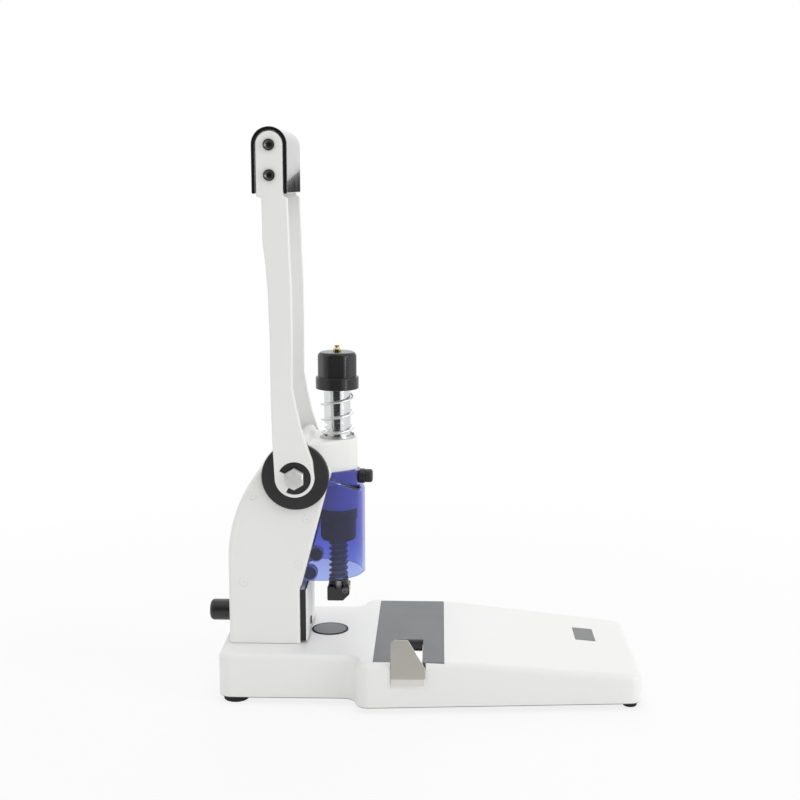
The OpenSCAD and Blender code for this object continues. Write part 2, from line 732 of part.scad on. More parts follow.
module drill_chuck() color(black) placed() difference() {
    union() {
        rod_z(13, chuck_low, 122.2, 0, 0);
        rod_z(14.2, 122, 128.5, 0, 0);
    }
    rod_z(quill_r + 0.02, 110, 140, 0, 0);
    rod_z(drill_r + 0.05, 100, 115, 0, 0);
}

module hollow_drill() color(steel) placed() difference() {
    union() {
        rod_z(drill_r, foot_z + 0.6, 110, 0, 0);
        rod_z(shank_r, foot_top + 0.9, chuck_low - 0.02, 0, 0);
    }
    rod_z(drill_r - 0.8, foot_z - 5, 108, 0, 0);
}

module presser_foot() color(black) placed() difference() {
    union() {
        plate_y(-8.5, 8.5) polygon([[-8, foot_z], [3.6, foot_z], [8.4, foot_z + 4.8],
            [8.4, foot_z + 11], [-8, foot_z + 11]]);
        rod_z(7.4, foot_z + 10.8, foot_top, 0, 0);
    }
    rod_z(drill_r + gap, foot_z - 5, foot_top + 5, 0, 0);
    rod_z(shank_r + gap, foot_z + 2, foot_top + 5, 0, 0);
    rod_y(1.55, -20, -5.2, 5.2, foot_z + 8.5);
}

module foot_screw() color(steel) placed() {
    rod_y(1.5, -9, -5.4, 5.2, foot_z + 8.5);
    rod_y(2.6, -10.2, -8.5, 5.2, foot_z + 8.5);
}

// Back gauge

module gauge_plate() color(black) placed() {
    box(-22.6, -20.9, -cover_half + 1.5, cover_half - 1.5, top_z + 1.8, gauge_top);
    both_sides() box(-25.4, -22.5, cover_half - 3, cover_half - 1.5, top_z + 1.8, gauge_top);
}

module gauge_sleeve() color(steel) placed() difference() {
    rod_x(5.5, -50, -22.6, 0, screw_z);
    rod_x(3 + fit, -60, -25, 0, screw_z);
}

module guide_pins() color(steel) placed() both_sides() rod_x(2.5, -52, -22.6, 15, 62);

module gauge_screw() color(steel) placed() rod_x(3, -88, -36, 0, screw_z);

module gauge_knob() color(black) placed() difference() {
    union() {
        rod_x(knob_r, -knob_back, knob_front, 0, screw_z);
        rod_x(4.2, knob_front - 0.1, -col_back + 3.2, 0, screw_z);
    }
    rod_x(3.02, -88, -60, 0, screw_z);
}

module gauge_collar() color(steel) placed() difference() {
    rod_x(6, -69.9, -64, 0, screw_z);
    rod_x(3.02, -80, -50, 0, screw_z);
}

// Side gauge

module side_gauge() color([0.72, 0.71, 0.68]) placed() {
    box(tab_x0, tab_front, tab_y + 0.1, 45, strip_top - strip_t, strip_top);
    plate_y(tab_y, tab_y + tab_t) polygon([[tab_x0, 21], [tab_front, 21], [tab_front, 33.5],
        [tab_x0 + 12, tab_top], [tab_x0 + 1.6, tab_top], [tab_x0, tab_top - 1.6]]);
}

module gauge_brake() color(black) placed()
    box(tab_x0 + 2.5, tab_front - 2.5, -37, -22.5, strip_top, strip_top + 1.2);

base_shell();
base_plate();
base_screws();
rubber_feet();
gauge_panel();
badge();
pad_cup();
cutting_pad();
frame_cheek_left();
frame_cheek_right();
column_core();
front_plate();
column_bolts();
side_cover_left();
side_cover_right();
rear_cover();
cover_screws();
head_casting();
frame_bolts();
quill_bushes();
shaft_bushes();
spring_washer();
return_spring();
shield();
shield_spacer();
shield_studs();
thumb_knob();
thumb_stud();
lever_arm_left();
lever_arm_right();
hub_disc_left();
hub_disc_right();
lever_shaft();
tooth_sector();
sector_key();
lever_bolts();
grip_shell();
grip_bar();
grip_screws();
quill();
quill_cap();
grease_nipple();
drill_chuck();
hollow_drill();
presser_spring();
presser_foot();
foot_screw();
gauge_plate();
gauge_sleeve();
guide_pins();
gauge_screw();
gauge_knob();
gauge_collar();
side_gauge();
gauge_brake();
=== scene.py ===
import math
import bmesh
import bpy
import numpy as np
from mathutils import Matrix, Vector


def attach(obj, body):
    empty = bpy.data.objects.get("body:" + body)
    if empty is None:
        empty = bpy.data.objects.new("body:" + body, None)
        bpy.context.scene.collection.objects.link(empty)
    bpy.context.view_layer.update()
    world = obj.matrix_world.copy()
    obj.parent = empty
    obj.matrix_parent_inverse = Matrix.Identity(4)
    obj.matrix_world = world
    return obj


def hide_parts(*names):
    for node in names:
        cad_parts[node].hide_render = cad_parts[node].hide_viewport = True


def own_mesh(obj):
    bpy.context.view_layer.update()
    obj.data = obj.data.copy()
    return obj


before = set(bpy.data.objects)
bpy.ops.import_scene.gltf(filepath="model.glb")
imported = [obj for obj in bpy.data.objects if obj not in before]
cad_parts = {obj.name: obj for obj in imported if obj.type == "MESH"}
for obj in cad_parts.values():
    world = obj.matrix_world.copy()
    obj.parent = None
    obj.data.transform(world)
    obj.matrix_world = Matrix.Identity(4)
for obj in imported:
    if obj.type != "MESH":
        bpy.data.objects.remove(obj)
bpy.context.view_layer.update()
print("frame loaded:", len(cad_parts), "nodes")

# Sizes below are in mm from the drill axis: x to the front, y to the far side, z up from the desk.
shiftX = -61.0  # drill axis to the middle of the footprint
drillAxis = (0, 0)
pivot = (-27.5, 160.7)  # lever shaft, x and z
thumbAxis = (0, 153.6)  # thumb screw, y and z
gaugeAxis = (0, 50.6)  # gauge screw, y and z
crease = 38  # edges that turn by more degrees than this stay crisp
nearAxis = 0.02  # radius at which a drawn profile meets its axis
flatFrom = 1.12  # a flat end starts a little inside the rounding around it
tiny = 1e-6


# every shape is a pair (points, faces), worked out as whole arrays

def ringFaces(rows, count):
    # quads between neighbouring rings of one grid, each ring closed on itself
    j, i = np.meshgrid(np.arange(rows - 1), np.arange(count), indexing="ij")
    k = (i + 1) % count
    quads = np.stack([j * count + i, j * count + k, (j + 1) * count + k, (j + 1) * count + i], -1)
    return quads.reshape(-1, 4).tolist()


def closedRings(rows, count):
    # the same quads, with a flat face over the first ring and over the last
    last = (rows - 1) * count
    return ringFaces(rows, count) + [list(range(count))[::-1], list(range(last, last + count))]


def rectangle(x0, x1, y0, y1):
    # four corners, round from the lowest
    return [(x0, y0), (x1, y0), (x1, y1), (x0, y1)]


def softCorners(points, radii, steps=7):
    # each corner of a closed outline gives way to an arc that touches both of its sides
    p = np.asarray(points, float)
    r = np.broadcast_to(np.asarray(radii, float), (len(p),))
    back, ahead = np.roll(p, 1, 0) - p, np.roll(p, -1, 0) - p
    back /= np.linalg.norm(back, axis=1, keepdims=True)
    ahead /= np.linalg.norm(ahead, axis=1, keepdims=True)
    half = np.arccos(np.clip((back * ahead).sum(1), -1, 1)) / 2
    mid = back + ahead
    size = np.linalg.norm(mid, axis=1, keepdims=True)
    mid = np.where(size > tiny, mid / np.maximum(size, tiny), 0)
    r = np.where(size[:, 0] > tiny, r, 0)
    centre = p + mid * (r / np.sin(half))[:, None]
    reach = (r / np.tan(np.clip(half, tiny, None)))[:, None]
    u, v = p + back * reach - centre, p + ahead * reach - centre
    turn = np.arctan2(u[:, 0] * v[:, 1] - u[:, 1] * v[:, 0], (u * v).sum(1))
    t = np.linspace(0, 1, steps)[None, :, None] * turn[:, None, None]
    side = np.stack([-u[:, 1], u[:, 0]], -1)
    out = (centre[:, None] + u[:, None] * np.cos(t) + side[:, None] * np.sin(t)).reshape(-1, 2)
    return distinct(out, 1e-5)


def distinct(outline, apart=1e-4):
    # the outline without points that repeat the one before
    p = np.asarray(outline, float)
    return p[np.linalg.norm(p - np.roll(p, 1, 0), axis=1) > apart]


def arc(cx, cy, r, a0, a1, steps):
    # points on a circle from one angle to another, in degrees
    a = np.radians(np.linspace(a0, a1, steps))
    return np.stack([cx + r * np.cos(a), cy + r * np.sin(a)], -1)


def inward(p):
    # how each point moves when the whole outline shrinks by 1: its sides' normals, joined as a mitre
    along = np.roll(p, -1, 0) - p
    along /= np.linalg.norm(along, axis=1, keepdims=True)
    n = np.stack([-along[:, 1], along[:, 0]], -1)
    area = (p[:, 0] * np.roll(p[:, 1], -1) - p[:, 1] * np.roll(p[:, 0], -1)).sum()
    n *= np.sign(area)
    before = np.roll(n, 1, 0)
    return (n + before) / np.maximum(1 + (n * before).sum(1), 0.25)[:, None]


def onAxis(a, b, level, axis):
    # two coordinates across an axis and the level along it, put in the order x, y, z
    order = {"z": (a, b, level), "y": (a, level, b), "x": (level, a, b)}
    return np.stack(order[axis], -1).reshape(-1, 3)


def slab(outline, low, high, rimLow=0.0, rimHigh=None, axis="z", steps=4):
    # an outline carried from low to high; at both ends it shrinks along a quarter circle, then is closed flat
    rimHigh = rimLow if rimHigh is None else rimHigh
    t = np.radians(np.linspace(0, 90, steps))
    shrink = np.concatenate([[rimLow * flatFrom], rimLow * (1 - np.sin(t)),
                             rimHigh * (1 - np.cos(t)), [rimHigh * flatFrom]])
    level = np.concatenate([[low], low + rimLow * (1 - np.cos(t)),
                            high - rimHigh * (1 - np.sin(t)), [high]])
    outline = distinct(outline)
    plan = outline[None] + inward(outline)[None] * shrink[:, None, None]
    up = np.broadcast_to(level[:, None], plan.shape[:2])
    return onAxis(plan[..., 0], plan[..., 1], up, axis), closedRings(*plan.shape[:2])


def turned(profile, centre=drillAxis, axis="z", steps=64, wave=None):
    # a profile of (radius, level) spun about an axis; wave gives the radius anew from radius, angle and level
    pr = np.asarray(profile, float)
    a = np.linspace(0, 2 * np.pi, steps, endpoint=False)
    r = np.repeat(pr[:, :1], steps, 1)
    h = np.repeat(pr[:, 1:], steps, 1)
    r = r if wave is None else wave(r, np.repeat(a[None], len(pr), 0), h)
    c, s = centre[0] + r * np.cos(a), centre[1] + r * np.sin(a)
    return onAxis(c, s, h, axis), closedRings(len(pr), steps)


def lathe(corners, radii, arcSteps, centre=drillAxis, axis="z", steps=64, wave=None):
    # a profile that starts and ends on the axis, with soft corners, spun about it
    line = softCorners(corners, radii, arcSteps)
    return turned(line[line[:, 0] > tiny], centre, axis, steps, wave)


def ringOf(section, **where):
    # a closed section spun about the axis, which needs no end faces
    points, faces = turned(np.concatenate([section, section[:1]]), **where)
    return points, faces[:-2]


def tubeRing(outer, inner, low, high, rim, **where):
    # a thick ring: its section is a rectangle with round corners
    return ringOf(softCorners(rectangle(inner, outer, low, high), rim, 4), **where)


def block(x0, x1, y0, y1, z0, z1, rim=0.0):
    # a box with rounded edges above and below
    return slab(rectangle(x0, x1, y0, y1), z0, z1, rim)


def rod(r, a, b, centre, axis, rim=0.0, steps=48):
    # a round bar with rounded ends
    return lathe(rectangle(0, r, a, b), [0, rim, rim, 0], 5, centre, axis, steps)


def wire(path, radius, sides=14):
    # a circle carried along a path, on the path's own tangent and the direction away from its axis
    p = np.asarray(path, float)
    t = np.gradient(p, axis=0)
    t /= np.linalg.norm(t, axis=1, keepdims=True)
    out = p * (1, 1, 0)
    out -= (out * t).sum(1, keepdims=True) * t
    out /= np.linalg.norm(out, axis=1, keepdims=True)
    up = np.cross(t, out)
    a = np.linspace(0, 2 * np.pi, sides, endpoint=False)[None, :, None]
    points = p[:, None] + radius * (out[:, None] * np.cos(a) + up[:, None] * np.sin(a))
    return points.reshape(-1, 3), closedRings(len(p), sides)


def together(*parts):
    # several shapes as one, each with its faces counted on from the last
    points, faces, start = [], [], 0
    for p, f in parts:
        points.append(p)
        faces += [[i + start for i in face] for face in f]
        start += len(p)
    return np.concatenate(points), faces


def moved(part, dx=0, dy=0, dz=0):
    # the same shape a distance away
    return part[0] + np.array([dx, dy, dz]), part[1]


def mirrored(part):
    # the same shape on the other side of the middle plane
    return part[0] * np.array([1, -1, 1]), part[1]


sides = [("near", "left", mirrored), ("far", "right", moved)]  # shapes are drawn on the far side


def meshObject(name, part, smooth=crease):
    # points go from mm at the drill axis to metres in the shared frame; doubles are merged, faces turned outwards
    points = (part[0] + np.array([shiftX, 0, 0])) * 0.001
    mesh = bpy.data.meshes.new(name)
    mesh.from_pydata(points.tolist(), [], part[1])
    tidy = bmesh.new()
    tidy.from_mesh(mesh)
    bmesh.ops.remove_doubles(tidy, verts=tidy.verts, dist=2e-6)
    bmesh.ops.dissolve_degenerate(tidy, edges=tidy.edges, dist=1e-6)
    bmesh.ops.recalc_face_normals(tidy, faces=tidy.faces)
    tidy.to_mesh(mesh)
    tidy.free()
    obj = bpy.data.objects.new(name, mesh)
    bpy.context.scene.collection.objects.link(obj)
    shade(obj, smooth)
    return obj


def shade(obj, smooth):
    # smooth faces, with crisp edges where they turn by more than the angle
    mesh = obj.data
    mesh.polygons.foreach_set("use_smooth", np.ones(len(mesh.polygons), bool))
    mesh.set_sharp_from_angle(angle=math.radians(smooth))


def settle(obj):
    # what the modifiers make becomes the piece's own mesh
    bpy.context.view_layer.update()
    done = bpy.data.meshes.new_from_object(obj.evaluated_get(bpy.context.evaluated_depsgraph_get()))
    obj.modifiers.clear()
    obj.data = done


def carve(obj, parts, how, smooth):
    # cuts the given shapes out of a piece, or joins them to it
    tools = [meshObject("tool", part) for part in parts]
    for tool in tools:
        step = obj.modifiers.new("carve", "BOOLEAN")
        step.operation, step.solver, step.object = how, "EXACT", tool
    settle(obj)
    for tool in tools:
        bpy.data.objects.remove(tool)
    shade(obj, smooth)


def evenOut(obj):
    # broad flat faces keep their own direction beside the narrow rounded ones, so that they mirror flat
    step = obj.modifiers.new("even", "WEIGHTED_NORMAL")
    step.keep_sharp = True
    settle(obj)


def dress(mesh, finish):
    # one finish all over
    mesh.materials.clear()
    mesh.materials.append(finish)


def piece(name, part, finish, body, nodes, cuts=(), adds=(), smooth=crease):
    # one finished piece: its mesh, its finish, the body it rides on and the nodes that it stands for
    obj = meshObject(name, part, smooth)
    if adds:
        carve(obj, adds, "UNION", smooth)
    if cuts:
        carve(obj, cuts, "DIFFERENCE", smooth)
    evenOut(obj)
    dress(obj.data, finish)
    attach(obj, body)
    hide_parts(*nodes)
    return obj


class Value:
    # wraps a socket, so that plain maths on it adds Math nodes
    def __init__(self, nodes, socket):
        self.nodes, self.socket = nodes, socket

    def maths(self, kind, a, b):
        return self.nodes.add("ShaderNodeMath", {"operation": kind}, {0: a, 1: b})

    def __add__(self, other): return self.maths("ADD", self, other)
    def __radd__(self, other): return self.maths("ADD", other, self)
    def __sub__(self, other): return self.maths("SUBTRACT", self, other)
    def __rsub__(self, other): return self.maths("SUBTRACT", other, self)
    def __mul__(self, other): return self.maths("MULTIPLY", self, other)
    def __rmul__(self, other): return self.maths("MULTIPLY", other, self)


class Nodes:
    # the nodes of a material or of the world
    def __init__(self, owner):
        owner.use_nodes = True
        self.tree = owner.node_tree

    def add(self, kind, settings, inputs, out=0):
        # a node of a type, its settings, which are set first, and the values or links of its sockets
        node = self.tree.nodes.new(kind)
        for key, value in settings.items():
            setattr(node, key, value)
        for key, value in inputs.items():
            self.link(node.inputs[key], value)
        return Value(self, node.outputs[out])

    def link(self, socket, value):
        if isinstance(value, Value):
            self.tree.links.new(value.socket, socket)
        else:
            socket.default_value = value

    def into(self, nodeName, inputs):
        # values or links for a node that every new tree has
        for key, value in inputs.items():
            self.link(self.tree.nodes[nodeName].inputs[key], value)

    def larger(self, a, b):
        return self.add("ShaderNodeMath", {"operation": "MAXIMUM"}, {0: a, 1: b})

    def ramp(self, value, low, high, to0=0.0, to1=1.0):
        return self.add("ShaderNodeMapRange", {"clamp": True},
                        {"Value": value, "From Min": low, "From Max": high, "To Min": to0, "To Max": to1})

    def seenRay(self):
        # 1 for rays from the camera, from shiny surfaces and through clear ones
        camera, glossy, through = [self.add("ShaderNodeLightPath", {}, {}, "Is %s Ray" % kind)
                                   for kind in ("Camera", "Glossy", "Transmission")]
        return self.larger(self.larger(camera, glossy), through)


class Finish(Nodes):
    # a new material; what is the same all over the surface is set at once
    def __init__(self, name, constants):
        self.material = bpy.data.materials.new(name)
        super().__init__(self.material)
        self.feed(constants)
        self.place = self.add("ShaderNodeTexCoord", {}, {}, "Object")

    def feed(self, inputs):
        self.into("Principled BSDF", inputs)

    def along(self, letter):
        # the place along one axis, in metres
        return self.add("ShaderNodeSeparateXYZ", {}, {0: self.place}, letter)

    def noise(self, scale, detail=3.0, rough=0.5, at=None):
        return self.add("ShaderNodeTexNoise", {}, {"Vector": at or self.place, "Scale": scale,
                                                   "Detail": detail, "Roughness": rough}, "Fac")

    def mix(self, factor, a, b):
        return self.add("ShaderNodeMix", {"data_type": "RGBA"}, {0: factor, 6: a, 7: b}, 2)

    def stretched(self, scale):
        return self.add("ShaderNodeMapping", {}, {"Vector": self.place, "Scale": scale})

    def bump(self, height, strength, distance):
        return self.add("ShaderNodeBump", {}, {"Strength": strength, "Distance": distance, "Height": height})


def rgb(r, g, b):
    return (r, g, b, 1.0)


def scaled(colour, share):
    # the same colour, lighter or darker
    return rgb(*[c * share for c in colour])


white = rgb(1, 1, 1)
skinDepth, lineDepth = 0.0002, 0.00005  # height of a coat's grain and of tool lines, in metres
lineRange = 0.14  # how much rougher metal is between its tool lines
evenly = (1, 1, 1)
roundAxis = (0.05, 0.05, 1)  # lines drawn out around an upright axis


def paintFinish(name, colour, shadeTo, rough, peel, grain, paintedShadeZ=None):
    # sprayed or moulded coat: soft patches of tone, an orange-peel skin, roughness that wanders with it,
    # and, if asked, a dark band below a height: painted shade for the shadow gap under the piece's edge
    f = Finish(name, {"IOR": 1.47})
    patch = f.noise(scale=11, detail=2)
    skin = f.noise(grain, 2, 0.55)
    tone = f.mix(f.ramp(patch, 0.35, 0.7), rgb(*colour), rgb(*shadeTo))
    if paintedShadeZ:
        # painted shade: dark grey below the height, standing for the shadow gap under the base's edge
        tone = f.mix(f.ramp(f.along("Z"), paintedShadeZ, paintedShadeZ + 0.0002), rgb(0.12, 0.12, 0.12), tone)
    f.feed({"Base Color": tone,
            "Roughness": rough + 0.07 * f.noise(scale=60) + 0.05 * skin,
            "Normal": f.bump(skin, peel, skinDepth)})
    return f.material


def blackFinish(name, colour, rough, grain, depth, mottle=1.5, haziness=0.12, refraction=1.5, lacquer=0.0):
    # moulding or coat: fine leathery grain, hazier where it is handled, under a clear lacquer if asked
    f = Finish(name, {"IOR": refraction})
    if lacquer:
        f.feed({"Coat Weight": lacquer, "Coat Roughness": 0.03})
    skin = f.noise(grain, 3, 0.6)
    haze = f.noise(45, 4, 0.6)
    f.feed({"Base Color": f.mix(f.ramp(haze, 0.35, 0.75), rgb(*colour), scaled(colour, mottle)),
            "Roughness": f.ramp(haze, 0.3, 0.75, rough, rough + haziness),
            "Normal": f.bump(skin, depth, skinDepth)})
    return f.material


def metalFinish(name, colour, rough, lines, strength, stretch=evenly, metal=1.0, paintedLightBelow=None):
    # bare metal: fine tool lines drawn out along one direction, a little tarnish between them,
    # and, if asked, a painted light tone below a height
    f = Finish(name, {"Metallic": metal})
    line = f.noise(lines, 3, 0.6, f.stretched(stretch))
    stain = f.noise(70, 4, 0.6)
    tone = f.mix(f.ramp(stain, 0.4, 0.75), rgb(*colour), scaled(colour, 0.86))
    if paintedLightBelow:
        lightBelowZ, paintedLightColour = paintedLightBelow
        # painted light: below the height the colour turns to a bright one that stands in for light
        tone = f.mix(f.ramp(f.along("Z"), lightBelowZ, lightBelowZ + 0.0003), rgb(*paintedLightColour), tone)
    f.feed({"Base Color": tone,
            "Roughness": f.ramp(line, 0.3, 0.7, rough, rough + lineRange),
            "Normal": f.bump(line, strength, lineDepth)})
    return f.material


def edgedFinish(name, colour, front, rear, edge, face, inner, rough):
    # black sheet metal sprayed white on its face, from an uneven line at the edge depth up to the face,
    # and inside the fold behind the rear depth
    f = Finish(name, {"IOR": 1.48})
    depth, across = f.along("X"), f.along("Y")
    skin = f.noise(1900, 2, 0.55)
    fromEdge = depth + 0.0002 * f.noise(scale=300, detail=2) - edge
    sprayed = f.ramp(fromEdge, -0.00015, 0.00015) * (1 - f.ramp(depth, face + 0.0001, face + 0.00015))
    insideFold = 1 - f.ramp(across * across, inner ** 2, (inner + 0.0002) ** 2)
    fold = insideFold * (1 - f.ramp(depth, rear - 0.0001, rear + 0.0001))
    f.feed({"Base Color": f.mix(sprayed + fold, rgb(*colour), rgb(*front)),
            "Roughness": rough + 0.08 * f.noise(scale=60),
            "Normal": f.bump(skin, 0.12, skinDepth)})
    return f.material


def sheetFinish(name, colour, litColour, slotY, hemZ, rough):
    # rolled sheet: tool lines along it, painted lighter where it lies in the slot and along the folded foot, a painted
    # highlight for the light those faces catch
    f = Finish(name, {"Metallic": 1.0})
    line = f.noise(1400, 3, 0.6, f.stretched((0.06, 1, 1)))
    litInSlot = f.ramp(f.along("Y"), slotY - 0.0001, slotY + 0.0001)
    hemHighlight = f.ramp(f.along("Z"), hemZ + 0.0002, hemZ - 0.0002)
    # painted highlight: the lit colour in the slot and on the hem
    f.feed({"Base Color": f.mix(f.larger(litInSlot, hemHighlight), rgb(*colour), rgb(*litColour)),
            "Roughness": f.ramp(line, 0.3, 0.7, rough, rough + lineRange),
            "Normal": f.bump(line, 0.1, lineDepth)})
    return f.material


def clearFinish(name, colour, paintedLightTint, rim, rough):
    # tinted clear sheet: light goes through, painted paler towards the lower rim as painted light where one wall is
    # seen, with faint rub marks in the polish
    f = Finish(name, {"Transmission Weight": 1.0, "IOR": 1.46})
    rub = f.noise(130, 4, 0.6, f.stretched((1, 1, 0.2)))
    # painted light: below the rim heights the tint turns paler
    f.feed({"Base Color": f.mix(f.ramp(f.along("Z"), *rim), rgb(*paintedLightTint), rgb(*colour)),
            "Roughness": f.ramp(rub, 0.45, 0.75, rough, rough + 0.05)})
    return f.material


whitePaint = paintFinish("satinWhitePaint", (0.90, 0.90, 0.885), (0.885, 0.885, 0.868),
                         rough=0.34, peel=0.09, grain=1500)
# the moulded white carries painted shade along its lowest 0.6 mm
whiteMoulded = paintFinish("mouldedWhite", (0.905, 0.905, 0.897), (0.89, 0.89, 0.88),
                           rough=0.40, peel=0.12, grain=2600, paintedShadeZ=0.0046)
capBlack = blackFinish("capBlack", (0.022, 0.022, 0.0235), rough=0.15, grain=900, depth=0.03,
                       mottle=1.2, haziness=0.06, refraction=1.40)
blackGloss = blackFinish("polishedBlack", (0.010, 0.010, 0.011), rough=0.07, grain=900, depth=0.04, haziness=0.06)
blackLacquer = blackFinish("lacqueredBlack", (0.010, 0.010, 0.011), rough=0.06, grain=900, depth=0.03,
                           haziness=0.04, lacquer=0.5)
blackSatin = blackFinish("satinBlack", (0.018, 0.018, 0.019), rough=0.36, grain=2200, depth=0.25)
blackCoat = blackFinish("blackCoat", (0.02, 0.02, 0.021), rough=0.42, grain=1700, depth=0.2)
panelGrey = blackFinish("greyPanel", (0.157, 0.161, 0.167), rough=0.46, grain=3000, depth=0.2, mottle=1.05)
padGrey = blackFinish("greyPad", (0.192, 0.195, 0.202), rough=0.55, grain=1300, depth=0.4, mottle=1.08)
badgeGrey = blackFinish("badgeGrey", (0.175, 0.184, 0.18), rough=0.35, grain=2600, depth=0.15, mottle=1.08)
rubberBlack = blackFinish("softRubber", (0.02, 0.02, 0.02), rough=0.8, grain=1200, depth=0.5, refraction=1.3)
darkScrew = metalFinish("blackenedScrew", (0.16, 0.16, 0.155), rough=0.26, lines=500, strength=0.15)
brightSteel = metalFinish("bareSteel", (0.60, 0.60, 0.60), rough=0.26, lines=900, strength=0.08)
nickelSheet = sheetFinish("nickelSheet", (0.53, 0.52, 0.47), (0.80, 0.79, 0.75),
                          slotY=-0.0737, hemZ=0.026, rough=0.42)
boltPlate = metalFinish("platedBolt", (0.74, 0.74, 0.73), rough=0.36, lines=700, strength=0.02, metal=0.3)
darkSteel = metalFinish("blackenedSteel", (0.15, 0.15, 0.16), rough=0.32, lines=900, strength=0.08)
# the drill's lower end is painted near white: painted light, so that the tip reads bright inside the foot's window
drillSteel = metalFinish("drillSteel", (0.15, 0.15, 0.16), rough=0.32, lines=900, strength=0.04,
                         metal=0.1, paintedLightBelow=(0.077, (0.92, 0.92, 0.92)))
springWire = metalFinish("springWire", (0.84, 0.84, 0.84), rough=0.34, lines=1200, strength=0.08)
quillChrome = metalFinish("chromedQuill", (0.74, 0.75, 0.76), rough=0.07, lines=1800, strength=0.05, stretch=roundAxis)
turnedBrass = metalFinish("turnedBrass", (0.74, 0.60, 0.32), rough=0.14, lines=1500, strength=0.1, stretch=roundAxis)
bronze = metalFinish("sinteredBronze", (0.55, 0.37, 0.18), rough=0.45, lines=1100, strength=0.3)
gaugeSheet = edgedFinish("gaugeSheet", (0.014, 0.014, 0.015), (0.88, 0.88, 0.87), rear=(-22.5 + shiftX) / 1000,
                         edge=(-21.4 + shiftX) / 1000, face=(-20.9 + shiftX) / 1000, inner=0.0306, rough=0.36)
clearBlue = clearFinish("clearBlue", (0.24, 0.262, 0.69), (0.33, 0.42, 0.82), rim=(0.085, 0.108), rough=0.02)
print("finishes made")


base = {
    "top": 36.0, "bottom": 4.0, "reach": 218.0, "back": 82.5,
    "rearHalf": 57.5, "tableHalf": 75.5, "frontHalf": 62.0,
    "cornerRear": 10.0, "cornerFront": 9.5, "swell": (6.0, 26.0),
    "slopeStart": 90.0, "slopeDrop": 11.5, "slopeBlend": 7.0,
    "edge": 4.5, "lip": 0.6, "wall": 4.0, "thick": 10.0,
}
slope = base["slopeDrop"] / (base["reach"] - base["slopeStart"])


def topAt(x):
    # flat, then a straight fall; a short parabola joins the two
    d, w = x - base["slopeStart"], base["slopeBlend"]
    return base["top"] - slope * np.where(d < -w, 0, np.where(d > w, d, (d + w) ** 2 / (4 * w)))


def baseRing(ins):
    # plan outline moved inward: rear corner, straight side, S of two equal arcs, taper, front corner, and back
    b = base
    swellStart, swellEnd = b["swell"]
    dx, dw = swellEnd - swellStart, b["tableHalf"] - b["rearHalf"]
    r = (dx * dx + dw * dw) / (4 * dw)
    sweep = math.degrees(2 * math.atan(dw / dx))
    rearR, frontR, end = b["cornerRear"], b["cornerFront"], b["reach"] - b["cornerFront"]
    rear = arc(rearR - b["back"], b["rearHalf"] - rearR, rearR - ins, 180, 90, 12)
    swellIn = arc(swellStart, b["rearHalf"] + r, r + ins, -90, -90 + sweep, 12)[:-1]
    swellOut = arc(swellEnd, b["tableHalf"] - r, r - ins, 90 + sweep, 90, 12)
    # grid lines along the taper, close together where the slope starts
    x = np.concatenate([[60.0], np.linspace(b["slopeStart"] - 8, b["slopeStart"] + 8, 9), [130.0, 170.0]])
    y = b["tableHalf"] + (b["frontHalf"] - b["tableHalf"]) * (x - swellEnd) / (end - swellEnd) - ins
    front = arc(end, b["frontHalf"] - frontR, frontR - ins, 90, 0, 12)
    side = np.concatenate([rear, swellIn, swellOut, np.stack([x, y], -1), front])
    return np.concatenate([side * (1, -1), side[::-1]])


def baseShape():
    # rings go down the inside to the rim, out, up the side and round the top edge; strips across close both tops
    b = base

    def ring(ins, drop=None, level=0.0):
        # at a drop below the top, or at a fixed level
        plan = baseRing(ins)
        return np.column_stack([plan, np.full(len(plan), level) if drop is None else topAt(plan[:, 0]) - drop])

    rings = [ring(b["wall"], b["thick"]), ring(b["wall"], level=b["bottom"]),
             ring(b["lip"], level=b["bottom"]), ring(0.0, level=b["bottom"] + b["lip"])]
    rings += [ring(b["edge"] * (1 - math.cos(a)), b["edge"] * (1 - math.sin(a)))
              for a in np.radians(np.linspace(0, 90, 8))]
    rings.append(ring(b["edge"] * 1.1, 0.0))  # the flat top starts a little inside the rounding
    m = len(rings[0])
    i = np.arange(m // 2 - 1)
    low = np.stack([i, i + 1, m - 2 - i, m - 1 - i], -1)
    high = low[:, ::-1] + (len(rings) - 1) * m
    return np.concatenate(rings), ringFaces(len(rings), m) + low.tolist() + high.tolist()


def onSlope(part, x):
    # tilts a shape drawn flat at height 0 onto the falling top at x
    a = math.atan(slope)
    p = part[0]
    q = p.copy()
    q[:, 0] = x + p[:, 0] * math.cos(a) + p[:, 2] * math.sin(a)
    q[:, 2] = float(topAt(np.array(x))) - p[:, 0] * math.sin(a) + p[:, 2] * math.cos(a)
    return q, part[1]


panel = {"x": (28.6, 78.4), "half": 69.5, "sheet": 2.5, "proud": 0.15, "window": (43.2, 63.2), "windowEnd": -22.0}
tab = {
    "x": (41.2, 65.2), "y": -75.3, "sheet": 1.3, "low": 21.0, "top": 54.0, "cut": 33.5, "flat": 12.0, "hem": 5.0,
    "strip": 1.5, "stripTop": 33.3, "stripEnd": 45.0, "slotEnd": 65.5, "slotIn": -73.8, "slotLow": 19.0,
}
pad = {"x": -6.7, "r": 12.4, "low": 33.0, "top": 36.7, "cup": 13.55, "cupLow": 31.5, "cupTop": 36.65, "gap": 0.06}
badge = {"x": 177.0, "y": 4.5, "size": (15.0, 27.0), "deep": 0.5, "proud": 0.3}

